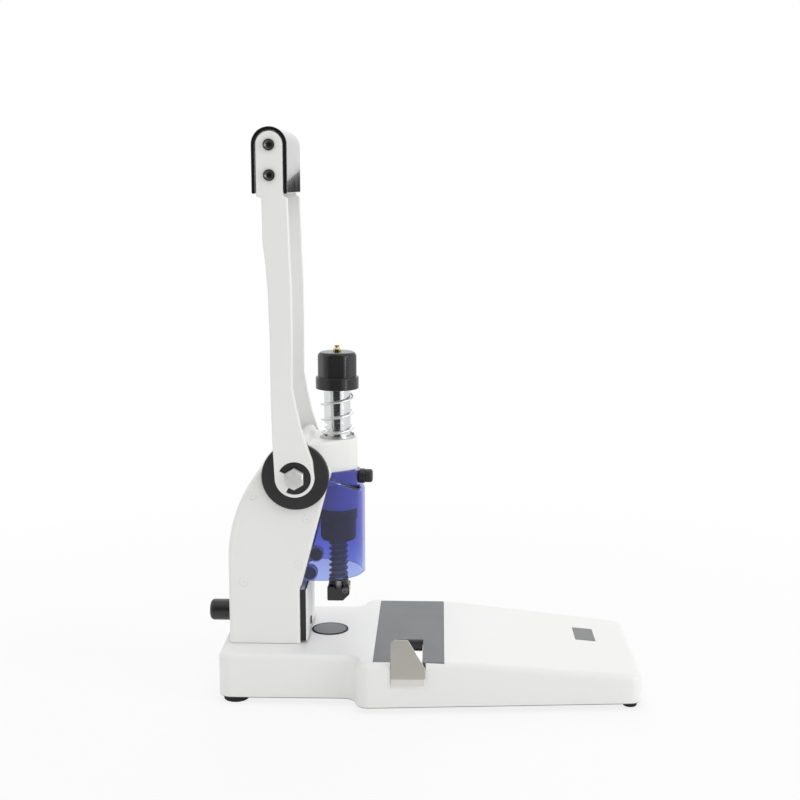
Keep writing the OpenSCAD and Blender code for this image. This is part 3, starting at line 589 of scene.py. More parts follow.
panelRear, panelFront = panel["x"]
tabRear, tabFront = tab["x"]
badgeWide, badgeEnd = badge["size"][0], badge["y"] + badge["size"][1]
panelLow, stripLow = base["top"] - panel["sheet"], tab["stripTop"] - tab["strip"]
padAxis = (pad["x"], 0)
above, outside = 45, -80  # clear of the top and of the near side, where a cut runs out
baseCuts = [
    block(panelRear - 0.1, panelFront + 0.1, -panel["half"] - 0.1, panel["half"] + 0.1, panelLow, above),
    block(tabRear - 0.4, tabFront + 0.4, outside, tab["slotEnd"], stripLow, above),
    block(tabRear - 0.6, tabFront + 0.6, outside, tab["slotIn"], tab["slotLow"], above),
    rod(pad["cup"] + 0.05, pad["cupLow"], above, padAxis, "z", steps=80),
    onSlope(block(-0.1, badgeWide + 0.1, badge["y"] - 0.1, badgeEnd + 0.1, -badge["deep"], 5), badge["x"]),
]
piece("baseShell", baseShape(), whiteMoulded, "frame", ["base_shell"], cuts=baseCuts, smooth=30)

panelHalf, (windowRear, windowFront), windowEnd = panel["half"], panel["window"], panel["windowEnd"]
panelPlan = softCorners([(panelRear, -panelHalf), (windowRear, -panelHalf), (windowRear, windowEnd),
                         (windowFront, windowEnd), (windowFront, -panelHalf), (panelFront, -panelHalf),
                         (panelFront, panelHalf), (panelRear, panelHalf)],
                        [0.8, 0.4, 0.5, 0.5, 0.4, 0.8, 0.8, 0.8], 4)
piece("gaugePanel", slab(panelPlan, panelLow, base["top"] + panel["proud"], 0.15, 0.25),
      panelGrey, "frame", ["gauge_panel"])

badgePlan = softCorners(rectangle(0, badgeWide, badge["y"], badgeEnd), 0.8, 5)
piece("plainBadge", onSlope(slab(badgePlan, -badge["deep"], badge["proud"], 0.1, 0.2), badge["x"]),
      badgeGrey, "frame", ["badge"])

cupIn = pad["r"] + pad["gap"]
cupCorners = [(0, pad["cupLow"]), (pad["cup"], pad["cupLow"]), (pad["cup"], pad["cupTop"]), (cupIn, pad["cupTop"]),
              (cupIn, pad["low"]), (0, pad["low"])]
# the cup's black is partly its own rubber and partly painted shade for the shadow gap round the pad
piece("padCup", lathe(cupCorners, [0, 0.3, 0.3, 0.2, 0.2, 0], 5, padAxis, steps=80),
      rubberBlack, "frame", ["pad_cup"])
padEdge = softCorners(rectangle(0, pad["r"], pad["low"], pad["top"]), [0, 0.3, 0.5, 0], 5)[1:-1]
padProfile = np.concatenate([[(nearAxis, pad["low"])], padEdge, [(nearAxis, pad["top"])]])
piece("cuttingPad", turned(padProfile, padAxis, steps=80), padGrey, "pad", ["cutting_pad"])

feet = {
    "rear": (-70.5, 47.5, 9.4, 4.6), "front": (210.2, 52.8, 5.4, 3.2),  # x, y, radius, neck radius
    "tall": 3.9, "taper": 0.6, "neckTop": 4.4, "stem": 2.0, "stemTop": 6.4, "flange": 3.2, "flangeTop": 7.6,
}


def footShape(x, y, r, neck):
    # a squat cone with soft edges, a short neck, and a stem with a flange inside the base
    f = feet
    corners = [(0, 0), (r - f["taper"], 0), (r, f["tall"]), (neck, f["tall"]), (neck, f["neckTop"]),
               (f["stem"], f["neckTop"]), (f["stem"], f["stemTop"]), (f["flange"], f["stemTop"]),
               (f["flange"], f["flangeTop"]), (0, f["flangeTop"])]
    return moved(lathe(corners, [0, 1.0, 0.4, 0.1, 0.2, 0.1, 0.1, 0.2, 0.5, 0], 4, steps=48), x, y)


oneSide = together(footShape(*feet["rear"]), footShape(*feet["front"]))
piece("rubberFeet", together(oneSide, mirrored(oneSide)), rubberBlack, "frame", ["rubber_feet"])
print("base done")


column = {
    "back": 77.0, "front": 25.7, "arcZ": 98.0, "arcR": 106.0, "low": 36.4, "top": 170.0, "crown": (-30, -9),
    "slantLow": (-24.3, 80.0), "slantHigh": (-2.0, 164.0), "kink": 77, "inner": 30.5, "outer": 33.5, "rim": 2.2,
    "screws": [(-59, 146), (-20, 129), (-26.5, 95), (-66, 82)],
    "seat": (3.2, 31.9), "post": (3.6, 27.5, 31.4), "shaftHole": 9.5,  # radius and depths
}


def rearLine(z0, z1, ins, steps):
    # straight up to arcZ, then a circle that leans forward
    z = np.unique(np.concatenate([[z0], np.linspace(max(column["arcZ"], z0), z1, steps)]))
    r = column["arcR"]
    d = np.maximum(z - column["arcZ"], 0)
    return np.stack([-column["back"] + r - np.sqrt((r - ins) ** 2 - d ** 2), z], -1)


def slantX(z):
    # the column's slanted front edge, a straight line through its two ends
    (ax, az), (bx, bz) = column["slantLow"], column["slantHigh"]
    return ax + (z - az) * (bx - ax) / (bz - az)


coverLow, coverTop = column["low"] - 4, column["top"]  # drawn longer than it is, then cut level
coverFront = [(column["crown"][0], coverTop), (column["crown"][1], coverTop), column["slantHigh"], column["slantLow"],
              (-column["front"], column["kink"]), (-column["front"], coverLow), (-40, coverLow)]
coverPlan = np.concatenate([rearLine(coverLow, coverTop, 0, 30), softCorners(coverFront, [0, 3, 3, 4, 4, 3, 0], 6)])
coverSheet = slab(coverPlan, column["inner"], column["outer"], 0.2, column["rim"], "y")
seatR, seatLow = column["seat"]
coverHoles = [block(-90, 0, 20, 50, 20, column["low"]), rod(column["shaftHole"], 20, 50, pivot, "y")]
coverHoles += [rod(seatR, seatLow, 50, at, "y", steps=40) for at in column["screws"]]
coverPosts = [rod(*column["post"], at, "y", steps=40) for at in column["screws"]]
for word, sideName, flip in sides:
    piece("sideCover." + word, flip(coverSheet), whitePaint, "frame", ["side_cover_" + sideName],
          adds=[flip(post) for post in coverPosts], cuts=[flip(hole) for hole in coverHoles])

rearCover = {"top": 180.15, "outer": 0.1, "inner": 3, "half": 30.3, "knobHole": 4.5}
rearOuter, rearInner = [rearLine(column["low"], rearCover["top"], rearCover[k], 40) for k in ("outer", "inner")]
rearPlan = np.concatenate([rearOuter, rearInner[::-1]])
piece("rearCover", slab(rearPlan, -rearCover["half"], rearCover["half"], 0.3, axis="y"),
      whitePaint, "frame", ["rear_cover"], cuts=[rod(rearCover["knobHole"], -90, -60, gaugeAxis, "x")])

# radius and depth below the cover's face
coverScrew = [(nearAxis, 1.6), (3.14, 1.6), (3.14, 0.16), (3.04, 0.06), (0.8, 0.04), (0.6, 0.4), (nearAxis, 0.45)]
screwPart = turned([(r, column["outer"] - d) for r, d in coverScrew], axis="y", steps=40)
allScrews = together(*[moved(screwPart, x, 0, z) for x, z in column["screws"]])
piece("coverScrews", together(allScrews, mirrored(allScrews)), whitePaint, "frame", ["cover_screws"])

head = {
    "low": 148.2, "rear": 182.8, "top": 186.2, "half": 30.0, "rim": 1.0, "brow": -20.5, "face": -18,
    "flank": (-24.0, -19.0), "flankLow": 150, "bossR": 14.5, "bossTop": 182.7, "bossLow": 130.0, "bossEnd": 170,
    "bore": 9.8, "bushBore": 11.75, "shaftBore": 10, "sectorRoom": (13, 21.3, 38, 6), "thumbBore": 2.1,
    "washer": (12.9, 1.5),
}
bossR, bossTop, flankX = head["bossR"], head["bossTop"], head["flank"][1]
flankAngle = math.atan2(head["half"], flankX) - math.acos(bossR / math.hypot(flankX, head["half"]))
flankDegrees = math.degrees(flankAngle)
headRear = rearLine(head["low"], head["rear"], 3.3, 16)
headFront = [headRear[-1], headRear[-1] + (5, head["top"] - head["rear"]), (head["brow"], head["top"]),
             (head["face"], bossTop), (head["face"], head["low"]), (-30, head["low"])]
headPlan = np.concatenate([headRear[:-1], softCorners(headFront, [0, 1.4, 2, 1.6, 1.4, 0], 6)])
flankRear = np.array([(x, head["half"] - 0.2) for x in head["flank"]])
flankPlan = np.concatenate([flankRear * (1, -1), arc(0, 0, bossR, -flankDegrees, flankDegrees, 40), flankRear[::-1]])
roomR, sweepR, sweepAngle, roomHalf = head["sectorRoom"]
sweepPlan = np.concatenate([[(-2, -13), (-2, 13)], arc(0, 0, sweepR, sweepAngle, -sweepAngle, 30)]) + pivot
piece("headCasting", slab(headPlan, -head["half"], head["half"], head["rim"], axis="y", steps=6),
      whitePaint, "frame", ["head_casting"],
      adds=[slab(flankPlan, head["flankLow"], bossTop, 0.5, 1.6, steps=6),
            lathe(rectangle(0, bossR, head["bossLow"], head["bossEnd"]), [0, 1.5, 0, 0], 6, steps=72),
            block(-48, -20, -22.3, 22.3, 112, 149, 0.8), block(-21, -6, -12, 12, 132, 152, 0.5)],
      cuts=[rod(head["bore"], 100, 210, drillAxis, "z"), rod(head["shaftBore"], -60, 60, pivot, "y"),
            rod(roomR, -roomHalf, roomHalf, pivot, "y"), rod(head["bushBore"], 100, 142, drillAxis, "z"),
            rod(head["thumbBore"], 9, 30, thumbAxis, "x"), slab(sweepPlan, -roomHalf, roomHalf, axis="y")])
washerR, washerThick = head["washer"]
piece("springWasher", tubeRing(washerR, head["bore"], bossTop, bossTop + washerThick, 0.3, steps=80),
      brightSteel, "frame", ["spring_washer"])
print("column and head done")


springs = [
    {"name": "returnSpring", "r": 11.25, "wire": 1.7, "turns": 4.75, "low": 184.2, "high": 226.2, "finish": springWire,
     "body": "frame", "node": "return_spring", "joint": "quill_slide", "held": "low", "travel": 23.4},
    {"name": "presserSpring", "r": 6.3, "wire": 1.5, "turns": 7.5, "low": 76.3, "high": 106.3, "finish": darkSteel,
     "body": "quill", "node": "presser_spring", "joint": "presser_slide", "held": "high", "travel": 14.0},
]


def coilPath(r, wireD, turns, low, high, perTurn=40, ends=0.75, endGap=0.75):
    # close end turns and an open middle, on a circle round the drill axis
    t = np.linspace(0, turns, int(turns * perTurn) + 1)
    dense, height = wireD + endGap, high - low - wireD
    middle = dense * ends + (height - 2 * ends * dense) * (t - ends) / (turns - 2 * ends)
    z = np.where(t < ends, dense * t, np.where(t > turns - ends, height - dense * (turns - t), middle))
    a = 2 * np.pi * t
    return np.stack([r * np.cos(a), r * np.sin(a), low + wireD / 2 + z], -1)


for s in springs:
    path = coilPath(s["r"], s["wire"], s["turns"], s["low"], s["high"])
    coil = piece(s["name"], wire(path, s["wire"] / 2), s["finish"], s["body"], [s["node"]])
    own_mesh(coil)

quill = {"r": 9.5, "low": 110.0, "top": 238.0, "rim": 0.8, "module": 1.25, "rackX": -8.125,
         "rack": (151.0, 194.0), "gaps": (-2, 9), "pressure": 20, "play": 0.12, "root": 1.3}


def rackCut():
    # trapezoid gaps one pitch apart, counted from the shaft's height, open to the rear
    q, m = quill, quill["module"]
    pitch, rise = m * math.pi, m * math.tan(math.radians(q["pressure"]))
    gapHalf = pitch / 4 + q["play"]
    level = pivot[1] + np.arange(*q["gaps"]) * pitch
    deepX, outX = q["rackX"] + q["root"] * m, q["rackX"] - m
    corners = [(outX, -gapHalf - rise), (deepX, -gapHalf + q["root"] * rise),
               (deepX, gapHalf - q["root"] * rise), (outX, gapHalf + rise)]
    gaps = np.stack([np.stack([np.full(len(level), x), level + z], -1) for x, z in corners], 1).reshape(-1, 2)
    low, high = q["rack"]
    gaps = gaps[(gaps[:, 1] > low + 0.2) & (gaps[:, 1] < high - 0.2)]
    return slab(np.concatenate([[(-20, low), (outX, low)], gaps, [(outX, high), (-20, high)]]), -20, 20, axis="y")


piece("quillShaft", rod(quill["r"], quill["low"], quill["top"], drillAxis, "z", quill["rim"], 96),
      quillChrome, "quill", ["quill"], cuts=[rackCut()])

cap = {"low": 218.5, "skirt": 15.65, "skirtTop": 227.0, "body": 14.1, "top": 245.4, "flat": 13.25, "shoulder": 3.6,
       "bore": 13.2, "seat": 226.2, "hole": 2.6, "blend": 40.0}


def fromFlat(a):
    # angle from the middle of the nearest of six flats
    return (a % (np.pi / 3)) - np.pi / 6


def sixFlats(r, a, h):
    # above the skirt the radius is held back to the nearest of six flats, with a soft change from one to the other
    held = (r ** -cap["blend"] + (cap["flat"] / np.cos(fromFlat(a))) ** -cap["blend"]) ** (-1 / cap["blend"])
    return np.where((h > cap["skirtTop"] + 0.2) & (r > 5), held, r)


capProfile = softCorners([(cap["bore"], cap["seat"]), (cap["bore"], cap["low"]), (cap["skirt"], cap["low"]),
                          (cap["skirt"], cap["skirtTop"]), (cap["body"], cap["skirtTop"] + 0.5),
                          (cap["body"], cap["top"]), (cap["hole"], cap["top"]), (cap["hole"], quill["top"])],
                         [0, 0.4, 0.5, 0.8, 0.4, cap["shoulder"], 0.4, 0], 9)
piece("quillCap", turned(capProfile, steps=192, wave=sixFlats),
      capBlack, "quill", ["quill_cap"], smooth=50)

nipple = {
    "hexagon": (245.35, 247.25), "hexFrom": 2.6,
    "profile": [(2.5, 239), (2.5, 245.4), (2.8, 245.4), (2.9, 245.6), (2.9, 246.8), (2.75, 247.2), (2.3, 247.3),
                (2.1, 247.9), (1.5, 248.7), (1.45, 249.0), (1.75, 249.3), (1.9, 249.8), (1.7, 250.2), (1.1, 250.45),
                (0.5, 250.5), (0.4, 250.3)],
}


def sixSided(r, a, h):
    # between two levels the radius follows a hexagon that has the profile's radius at its corners
    low, high = nipple["hexagon"]
    onHexagon = (h > low) & (h < high) & (r > nipple["hexFrom"])
    return np.where(onHexagon, r * np.cos(np.pi / 6) / np.cos(fromFlat(a)), r)


piece("greaseNipple", turned(nipple["profile"], steps=48, wave=sixSided),
      turnedBrass, "quill", ["grease_nipple"])

chuck = {
    "flutes": 24, "fluteDeep": 0.009, "fluted": (109.2, 120.8),
    "corners": [(0, 106.3), (11.8, 106.3), (13, 108.5), (13, 121.6), (14.2, 122.6), (14.2, 128.5), (0, 128.5)],
}


def fluted(r, a, h):
    # a cosine round the body takes a share off the radius
    low, high = chuck["fluted"]
    wave = 1 + np.cos(chuck["flutes"] * a)
    return np.where((h > low) & (h < high), r * (1 - chuck["fluteDeep"] * wave), r)


piece("drillChuck", lathe(chuck["corners"], [0, 0.4, 0.5, 0.4, 0.4, 0.6, 0], 5, steps=144, wave=fluted),
      blackCoat, "quill", ["drill_chuck"])

drill = {"bore": 2.2, "r": 3.0, "shank": 5.2, "low": 61.2, "shankLow": 77.2, "shankTop": 106.28, "top": 110}
bore, drillR, shank = drill["bore"], drill["r"], drill["shank"]
drillLine = softCorners([(bore, drill["low"]), (drillR, drill["low"]), (drillR, drill["shankLow"]),
                         (shank, drill["shankLow"]), (shank, drill["shankTop"]), (drillR, drill["shankTop"]),
                         (drillR, drill["top"]), (bore, drill["top"])], 0.15, 4)
piece("hollowDrill", ringOf(drillLine, steps=56), drillSteel, "quill", ["hollow_drill"])

presser = {
    "corners": [(-8, 60.6), (3.6, 60.6), (8.4, 65.4), (8.4, 71.6), (-8, 71.6)], "half": 8.5, "rim": 0.7,
    "neck": (7.4, 70.8, 76.3), "drillHole": (3.3, 50, 90), "well": (5.5, 62.6, 90),  # radius, low, high
    "window": (-2.53, 3.77, -9.3, -1.0, 69.93, 75.37), "screw": (5.2, 69.1),
    "screwProfile": [(1.5, -5.4), (1.5, -8.4), (2.5, -8.45), (2.6, -8.7), (2.55, -9.6), (2.2, -10.1), (1.3, -10.2),
                     (1.2, -9.4), (nearAxis, -9.3)],
}
presserPlan = softCorners(presser["corners"], [0.9, 0.9, 0.9, 1, 1], 5)
piece("presserFoot", slab(presserPlan, -presser["half"], presser["half"], presser["rim"], axis="y"),
      blackGloss, "presser", ["presser_foot"],
      adds=[rod(*presser["neck"], drillAxis, "z", presser["rim"])],
      cuts=[block(*presser["window"]), rod(*presser["drillHole"], drillAxis, "z"),
            rod(*presser["well"], drillAxis, "z")])
piece("footScrew", turned(presser["screwProfile"], presser["screw"], "y", 40),
      darkScrew, "presser", ["foot_screw"])
print("quill and tool done")


shield = {
    "half": 30.0, "front": 19.9, "rear": -40, "low": 82.3, "top": 160.0, "sheet": 2.0, "behind": 1.7, "between": 28,
    "roof": 156.1, "fall": 0.53, "roofSheet": 2.3, "edge": 1.6, "innerEdge": 0.8, "lip": 0.25,
    "collar": 2.0, "hole": 2.2, "notch": (13.2, 20, -12, 12, 158.6, 170),
}


def roofAt(x):
    # the roof falls evenly to the front
    return shield["roof"] - shield["fall"] * x


def shieldBlock(ins, drop, low, edge):
    # a U in plan, legs to the rear: rings go straight up, then in along a quarter circle to the falling roof;
    # strips across close both ends
    cx, r, lip = shield["front"] - shield["half"], shield["half"] - ins, shield["lip"]
    rearX = np.linspace(shield["rear"], cx, 9)[:-1]

    def ring(k):
        # the U, moved inward by k
        near = np.stack([rearX, np.full(len(rearX), k - r)], -1)
        return np.concatenate([near, arc(cx, 0, r - k, -90, 90, 73), near[::-1] * (1, -1)])

    t = np.radians(np.linspace(0, 90, 7))
    shrink = np.concatenate([[lip, 0], edge * (1 - np.cos(t)), [edge * 1.15]])
    plans = np.stack([ring(k) for k in shrink])
    below = np.concatenate([[0, 0], edge * (1 - np.sin(t)), [0]])[:, None]
    z = roofAt(plans[..., 0]) - drop - below
    z[0], z[1] = low, low + lip
    rows, n = z.shape
    i = np.arange(n // 2 - 1 + n % 2)
    flat = np.stack([i, i + 1, n - 2 - i, n - 1 - i], -1).tolist()
    flat = [list(dict.fromkeys(q)) for q in flat]  # the strip in the middle has three corners
    last = (rows - 1) * n
    points = np.concatenate([plans, z[..., None]], -1).reshape(-1, 3)
    return points, ringFaces(rows, n) + flat + [[k + last for k in q[::-1]] for q in flat]


def headRoom(out):
    # boss and flanks seen from above, moved outward
    rear = (flankX + out * math.cos(flankAngle), head["half"] + out * math.sin(flankAngle))
    return np.concatenate([[(rear[0], -rear[1])], arc(0, 0, bossR + out, -flankDegrees, flankDegrees, 48), [rear]])


def behindSlant(shift, half, low=60, high=190, rear=-90):
    # everything to the rear of the column's slanted edge, moved forward by the shift
    return slab([(slantX(low) + shift, low), (slantX(high) + shift, high), (rear, high), (rear, low)],
                -half, half, axis="y")


# the collar's foot is let into the roof
collarPoints, collarFaces = slab(headRoom(shield["collar"]), 144, shield["top"], 0.1, 0.6, steps=5)
collarZ = collarPoints[:, 2]
collarZ = np.where(collarZ < 150, np.minimum(roofAt(collarPoints[:, 0]) - 1, 158), collarZ)
collar = np.column_stack([collarPoints[:, :2], collarZ]), collarFaces
piece("clearShield", shieldBlock(0, 0, shield["low"], shield["edge"]),
      clearBlue, "frame", ["shield"], smooth=30, adds=[collar],
      cuts=[shieldBlock(shield["sheet"], shield["roofSheet"], shield["low"] - 3, shield["innerEdge"]),
            slab(headRoom(0.03), 120, 190), behindSlant(-shield["behind"], 60), behindSlant(0.4, shield["between"]),
            rod(shield["hole"], 10, 40, thumbAxis, "x"), block(*shield["notch"])])

thumb = {
    "ribs": 20, "ribDeep": 0.045, "ribbed": (20.6, 24.9),
    "corners": [(2.05, 20), (4.7, 20), (4.9, 20.6), (4.9, 25.6), (0.05, 25.6)], "spacer": (5.4, 2.1, 12.0),
}


def ribsOf(knob):
    # a raised cosine round the knob, between two levels, takes a share off the radius
    low, high = knob["ribbed"]

    def ribs(r, a, h):
        return r * (1 - knob["ribDeep"] * (0.5 + 0.5 * np.cos(knob["ribs"] * a)) * ((h > low) & (h < high)))

    return ribs


thumbProfile = softCorners(thumb["corners"], [0, 0.2, 0.3, 1.9, 0], 6)
piece("thumbKnob", turned(thumbProfile, thumbAxis, "x", 160, ribsOf(thumb)),
      blackSatin, "thumb", ["thumb_knob"])
spacerR, spacerHole, spacerRear = thumb["spacer"]
piece("shieldSpacer", tubeRing(spacerR, spacerHole, spacerRear, shield["front"], 0.4,
                               centre=thumbAxis, axis="x", steps=56),
      blackSatin, "frame", ["shield_spacer"],
      cuts=[rod(bossR + shield["collar"] + 0.02, 130, 180, drillAxis, "z", steps=96)])
studs = {"r": 4.7, "y": (21.8, 27.8), "at": (-19, 87.5), "rim": 0.4}
stud = rod(studs["r"], *studs["y"], studs["at"], "y", studs["rim"])
piece("shieldStuds", together(stud, mirrored(stud)), blackCoat, "frame", ["shield_studs"])
print("shield done")


# lever shapes are drawn on the shaft, x and z from the pivot
lever = {"endR": 14.0, "topR": 9.4, "inner": 38.3, "outer": 43.3, "lean": 14.45, "rim": 0.9, "boltHole": 4.2}
grip = {"mid": 230.75, "leg": 33.0, "r": 12.25, "wall": 2.6, "half": 43.5, "screwDrop": 20.4}
hub = {"r": 24.0, "farR": 21.0, "inner": 33.8, "rim": 0.9, "sunk": 0.5,
       "dog": (6.2, 11.5, 154, 240), "dogHole": (6.0, 11.7, 155, 239)}  # radii and the angles of the gap
bolt = {"corner": 7.51, "tall": 5.3, "chamfer": 0.86, "shank": 4.0, "shankEnd": 18}
gripX, gripZ = -lever["lean"], grip["mid"]


def onPivot(part):
    # from the shaft to its place
    return moved(part, pivot[0], 0, pivot[1])


def armPlan():
    # round foot on the shaft, a swept blade, a notch below the grip and a round top
    r = lever["topR"]
    right = [(12.8, 12), (9, 23), (5, 36), (1.6, 52), (-0.5, 64), (-0.2, 105), (-0.4, 132), (-1.2, 153),
             (-2.4, gripZ - 36.0), (gripX + r, gripZ - 34.3)]
    left = [(gripX - r, gripZ - 34.6), (-20.2, gripZ - 36.0), (-19.9, 165), (-18.4, 153), (-16.8, 132), (-15.9, 95),
            (-15.9, 60), (-15.3, 27)]
    return np.concatenate([arc(0, 0, lever["endR"], 180, 360, 40), right, arc(gripX, gripZ, r, 0, 180, 32), left])


def dogPlan(r0, r1, a0, a1):
    # a C: from a1 round to a0 the long way, outside, then back inside
    return np.concatenate([arc(0, 0, r1, a1, a0 + 360, 64), arc(0, 0, r0, a0 + 360, a1, 64)])


def discShape(r):
    # a flat disc with rounded edges
    return lathe(rectangle(0, r, hub["inner"], lever["inner"]), [0, hub["rim"], hub["rim"], 0], 6, axis="y", steps=96)


def hexHead(low, high, corner, chamfer, steps=96):
    # distance to the hexagon's edge at each angle; the top dips by 30 degrees outside the chamfer circle
    a = np.linspace(0, 2 * np.pi, steps, endpoint=False)
    edge = corner * np.cos(np.pi / 6) / np.cos(fromFlat(a))
    share = np.array([0.02, 0.6, 0.86, 0.93, 0.97, 1.0])[:, None]
    r = share * edge[None]
    top = high - np.maximum(r - corner * 0.866 * chamfer, 0) * math.tan(math.radians(30))
    r = np.concatenate([r, edge[None], edge[None] * share[0]])
    z = np.concatenate([top, np.full((2, steps), low)])
    return onAxis(r * np.sin(a), r * np.cos(a), z, "y"), closedRings(len(z), steps)


armShape = slab(armPlan(), lever["inner"], lever["outer"], 0.4, lever["rim"], "y")
armCuts = [slab(dogPlan(*hub["dogHole"]), 36, 50, axis="y"), rod(lever["boltHole"], 30, 60, (0, 0), "y")]
dogShape = slab(dogPlan(*hub["dog"]), lever["inner"] - 0.5, lever["outer"] - hub["sunk"], 0.1, 0.3, "y")
for (word, sideName, flip), discR in zip(sides, (hub["r"], hub["farR"])):
    piece("leverArm." + word, flip(onPivot(armShape)), whitePaint, "lever", ["lever_arm_" + sideName],
          cuts=[flip(onPivot(cut)) for cut in armCuts])
    piece("hubDisc." + word, flip(onPivot(together(discShape(discR), dogShape))),
          blackSatin, "lever", ["hub_disc_" + sideName])

boltShape = together(hexHead(lever["outer"], lever["outer"] + bolt["tall"], bolt["corner"], bolt["chamfer"]),
                     rod(bolt["shank"], bolt["shankEnd"], lever["outer"] + 1, (0, 0), "y"))
piece("leverBolts", onPivot(together(boltShape, mirrored(boltShape))),
      boltPlate, "lever", ["lever_bolts"], smooth=25)


def gripLeg(x0, x1):
    # one end of the grip's U, with rounded corners
    legTop, legEnd = gripZ - 15, gripZ - grip["leg"]
    return softCorners([(x0, legTop), (x0, legEnd), (x1, legEnd), (x1, legTop)], [0, 1.1, 1.1, 0], 6)


outerR, innerR = grip["r"], grip["r"] - grip["wall"]
gripPlan = np.concatenate([arc(gripX, gripZ, outerR, 0, 180, 48), gripLeg(gripX - outerR, gripX - innerR),
                           arc(gripX, gripZ, innerR, 180, 0, 48), gripLeg(gripX + innerR, gripX + outerR)])
piece("gripShell", onPivot(slab(gripPlan, -grip["half"], grip["half"], 0.5, axis="y")),
      blackLacquer, "lever", ["grip_shell"])

gripScrew = [(2.0, 25), (2.0, 43.3), (3.9, 43.3), (4.0, 43.6), (4.0, 45.0), (3.7, 45.5), (3.1, 45.5), (1.6, 44.1),
             (nearAxis, 44.0)]
oneScrew = turned(gripScrew, axis="y", steps=48)
screwPair = together(*[moved(oneScrew, gripX, 0, z) for z in (gripZ, gripZ - grip["screwDrop"])])
piece("gripScrews", onPivot(together(screwPair, mirrored(screwPair))),
      darkScrew, "lever", ["grip_screws"])
print("lever done")


backGauge = {
    "face": -20.9, "inside": -22.6, "rear": -25.4, "half": 32, "insideHalf": 30.5, "low": 37.8, "top": 76,
    "button": (3.1, -21.6, -19.9, (-5, 44.8), "x", 0.5), "topStrip": (-25.3, -22.0, -31.2, 31.2, 74.4, 75.7),
}
faceX, insideX, rearX = backGauge["face"], backGauge["inside"], backGauge["rear"]
gaugeHalf, insideHalf = backGauge["half"], backGauge["insideHalf"]
channel = [(faceX, -gaugeHalf), (faceX, gaugeHalf), (rearX, gaugeHalf), (rearX, insideHalf), (insideX, insideHalf),
           (insideX, -insideHalf), (rearX, -insideHalf), (rearX, -gaugeHalf)]
gaugePlan = softCorners(channel, [1.6, 1.6, 0.3, 0.3, 0.3, 0.3, 0.3, 0.3], 5)
piece("gaugePlate", slab(gaugePlan, backGauge["low"], backGauge["top"], 0.12),
      gaugeSheet, "back_gauge", ["gauge_plate"],
      adds=[rod(*backGauge["button"]), block(*backGauge["topStrip"])])
gaugeKnob = {
    "ribs": 30, "ribDeep": 0.03, "ribbed": (-92.5, -79.6),
    "corners": [(0, -96), (7.8, -96), (7.8, -78.4), (4.2, -78.4), (4.2, -73.8), (0, -73.8)],
}
piece("gaugeKnob", lathe(gaugeKnob["corners"], [0, 3.2, 0.6, 0.2, 0.2, 0], 8, gaugeAxis, "x", 180, ribsOf(gaugeKnob)),
      blackSatin, "gauge_drive", ["gauge_knob"])

tabFace, tabBack = tab["y"], tab["y"] + tab["sheet"]
tabPlan = softCorners([(tabRear, tab["low"]), (tabFront, tab["low"]), (tabFront, tab["cut"]),
                       (tabRear + tab["flat"], tab["top"]), (tabRear, tab["top"])], [0.5, 0.5, 1.5, 2.5, 3.6], 6)
hemPlan = softCorners(rectangle(tabRear + 0.1, tabFront - 0.1, tab["low"] + 0.1, tab["low"] + tab["hem"]), 0.5, 4)
piece("sideGauge", together(slab(tabPlan, tabFace + 0.15, tabBack, 0.2, axis="y"),
                            slab(hemPlan, tabFace, tabFace + 0.5, 0.4, 0.1, "y"),
                            block(tabRear, tabFront, tabBack - 0.3, tab["stripEnd"], stripLow, tab["stripTop"], 0.15)),
      nickelSheet, "side_stop", ["side_gauge"])
brake = {"y": (-37, -22.5), "inset": 2.5, "tall": 1.2, "rim": 0.2}
piece("gaugeBrake", block(tabRear + brake["inset"], tabFront - brake["inset"], *brake["y"],
                          tab["stripTop"], tab["stripTop"] + brake["tall"], brake["rim"]),
      rubberBlack, "side_stop", ["gauge_brake"])
print("gauges done")


# the nodes that stay as they are get their finish
kept = [
    (whitePaint, ["frame_cheek_left", "frame_cheek_right", "column_core", "front_plate"]),
    (brightSteel, ["base_plate", "base_screws", "column_bolts", "frame_bolts", "thumb_stud", "lever_shaft",
                   "tooth_sector", "sector_key", "grip_bar", "gauge_sleeve", "guide_pins", "gauge_screw",
                   "gauge_collar"]),
    (bronze, ["quill_bushes", "shaft_bushes"]),
]
for finish, names in kept:
    for name in names:
        dress(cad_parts[name].data, finish)
print("kept nodes finished")


# camera and light, in metres
cameraView = {"at": (0.0129, -0.9683, 0.3678), "turn": (80.744, 0.0, 1.675),
              "lens": 60.75, "sensor": 36.0, "near": 0.01}
studio = {
    "room": 0.77, "floorTone": 0.9, "floorGlow": 0.8, "fade": (0.28, 0.7), "floorHalf": 6, "aim": (0, 0, 0.15),
    # name, power, width, place
    "lamps": [("overhead", 1.2, 1.6, (-0.25, -0.35, 1.5)), ("sideLight", 4.2, 0.7, (1.25, -0.45, 0.7)),
              ("backLight", 3.0, 0.8, (-0.1, 1.1, 1.0))],
    # name, glow, corners
    "cards": [("frontCard", 0, [(-1.2, -0.75, 0), (0.35, -0.75, 0), (0.35, -0.75, 1.0), (-1.2, -0.75, 1.0)]),
              ("rearCard", 0, [(-0.02, 1.0, 0.3), (0.06, 1.0, 0.3), (0.06, 1.0, 0.3424), (-0.02, 1.0, 0.4005)]),
              ("stripCard", 20, [(1.15, -0.888, 0.045), (1.06, -1.0, 0.045), (1.06, -1.0, 0.5), (1.15, -0.888, 0.5)])],
}


def placed(name, data):
    # a new object in the scene
    obj = bpy.data.objects.new(name, data)
    bpy.context.scene.collection.objects.link(obj)
    return obj


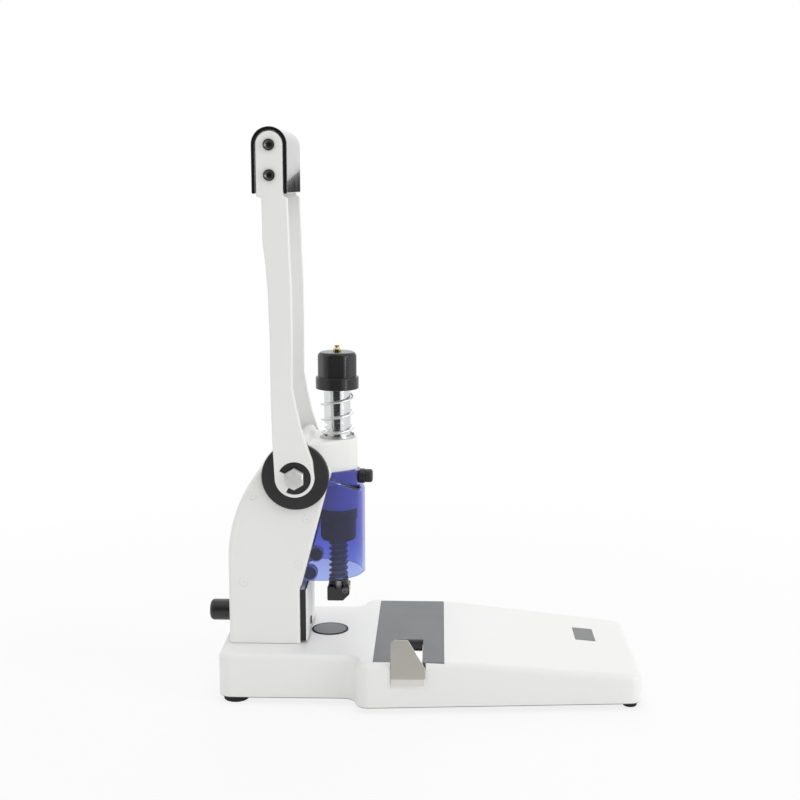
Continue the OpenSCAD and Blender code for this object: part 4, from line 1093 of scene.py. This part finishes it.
def stageSheet(name, corners, finish):
    # one flat sheet that isn't part of the object
    mesh = bpy.data.meshes.new(name)
    mesh.from_pydata(corners, [], [(0, 1, 2, 3)])
    mesh.materials.append(finish)
    sheet = placed(name, mesh)
    return sheet


def floorFinish():
    # pale and matt, with a glow for the rays that are seen, full from a distance on and weaker near the object
    tone = studio["floorTone"]
    f = Finish("paleFloor", {"Base Color": rgb(tone, tone, tone), "Roughness": 0.9})
    away = f.add("ShaderNodeVectorMath", {"operation": "LENGTH"}, {0: f.place}, "Value")
    share = f.seenRay() * f.ramp(away, *studio["fade"], studio["floorGlow"], 1.0)
    lit = Value(f, f.tree.nodes["Principled BSDF"].outputs[0])
    glow = f.add("ShaderNodeEmission", {}, {"Color": white})
    f.into("Material Output", {"Surface": f.add("ShaderNodeMixShader", {}, {0: share, 1: lit, 2: glow})})
    return f.material


lens = bpy.data.cameras.new("camera")
lens.lens, lens.sensor_width, lens.clip_start = cameraView["lens"], cameraView["sensor"], cameraView["near"]
camera = placed("camera", lens)
camera.location = cameraView["at"]
camera.rotation_euler = [math.radians(v) for v in cameraView["turn"]]
bpy.context.scene.camera = camera

world = bpy.data.worlds.new("room")
bpy.context.scene.world = world
room = Nodes(world)
room.into("Background", {"Color": white, "Strength": room.ramp(room.seenRay(), 0.0, 1.0, studio["room"], 1.0)})

reach = studio["floorHalf"]
stageSheet("floor", [(x, y, 0) for x, y in rectangle(-reach, reach, -reach, reach)], floorFinish())

for name, energy, size, at in studio["lamps"]:
    light = bpy.data.lights.new(name, "AREA")
    light.energy, light.size = energy, size
    lamp = placed(name, light)
    lamp.location = at
    lamp.rotation_euler = (Vector(studio["aim"]) - Vector(at)).to_track_quat("-Z", "Y").to_euler()

# cards that only shiny surfaces see: the dark opening that the camera looks through, a flag behind, and a strip light
for name, glow, corners in studio["cards"]:
    cardFinish = Finish(name, {"Base Color": rgb(0.02, 0.02, 0.02), "Roughness": 1.0,
                               "Emission Color": white, "Emission Strength": glow})
    card = stageSheet(name, corners, cardFinish.material)
    card.visible_camera = card.visible_diffuse = card.visible_transmission = card.visible_shadow = False
bpy.context.scene.view_settings.view_transform = "Standard"
print("camera and light set")
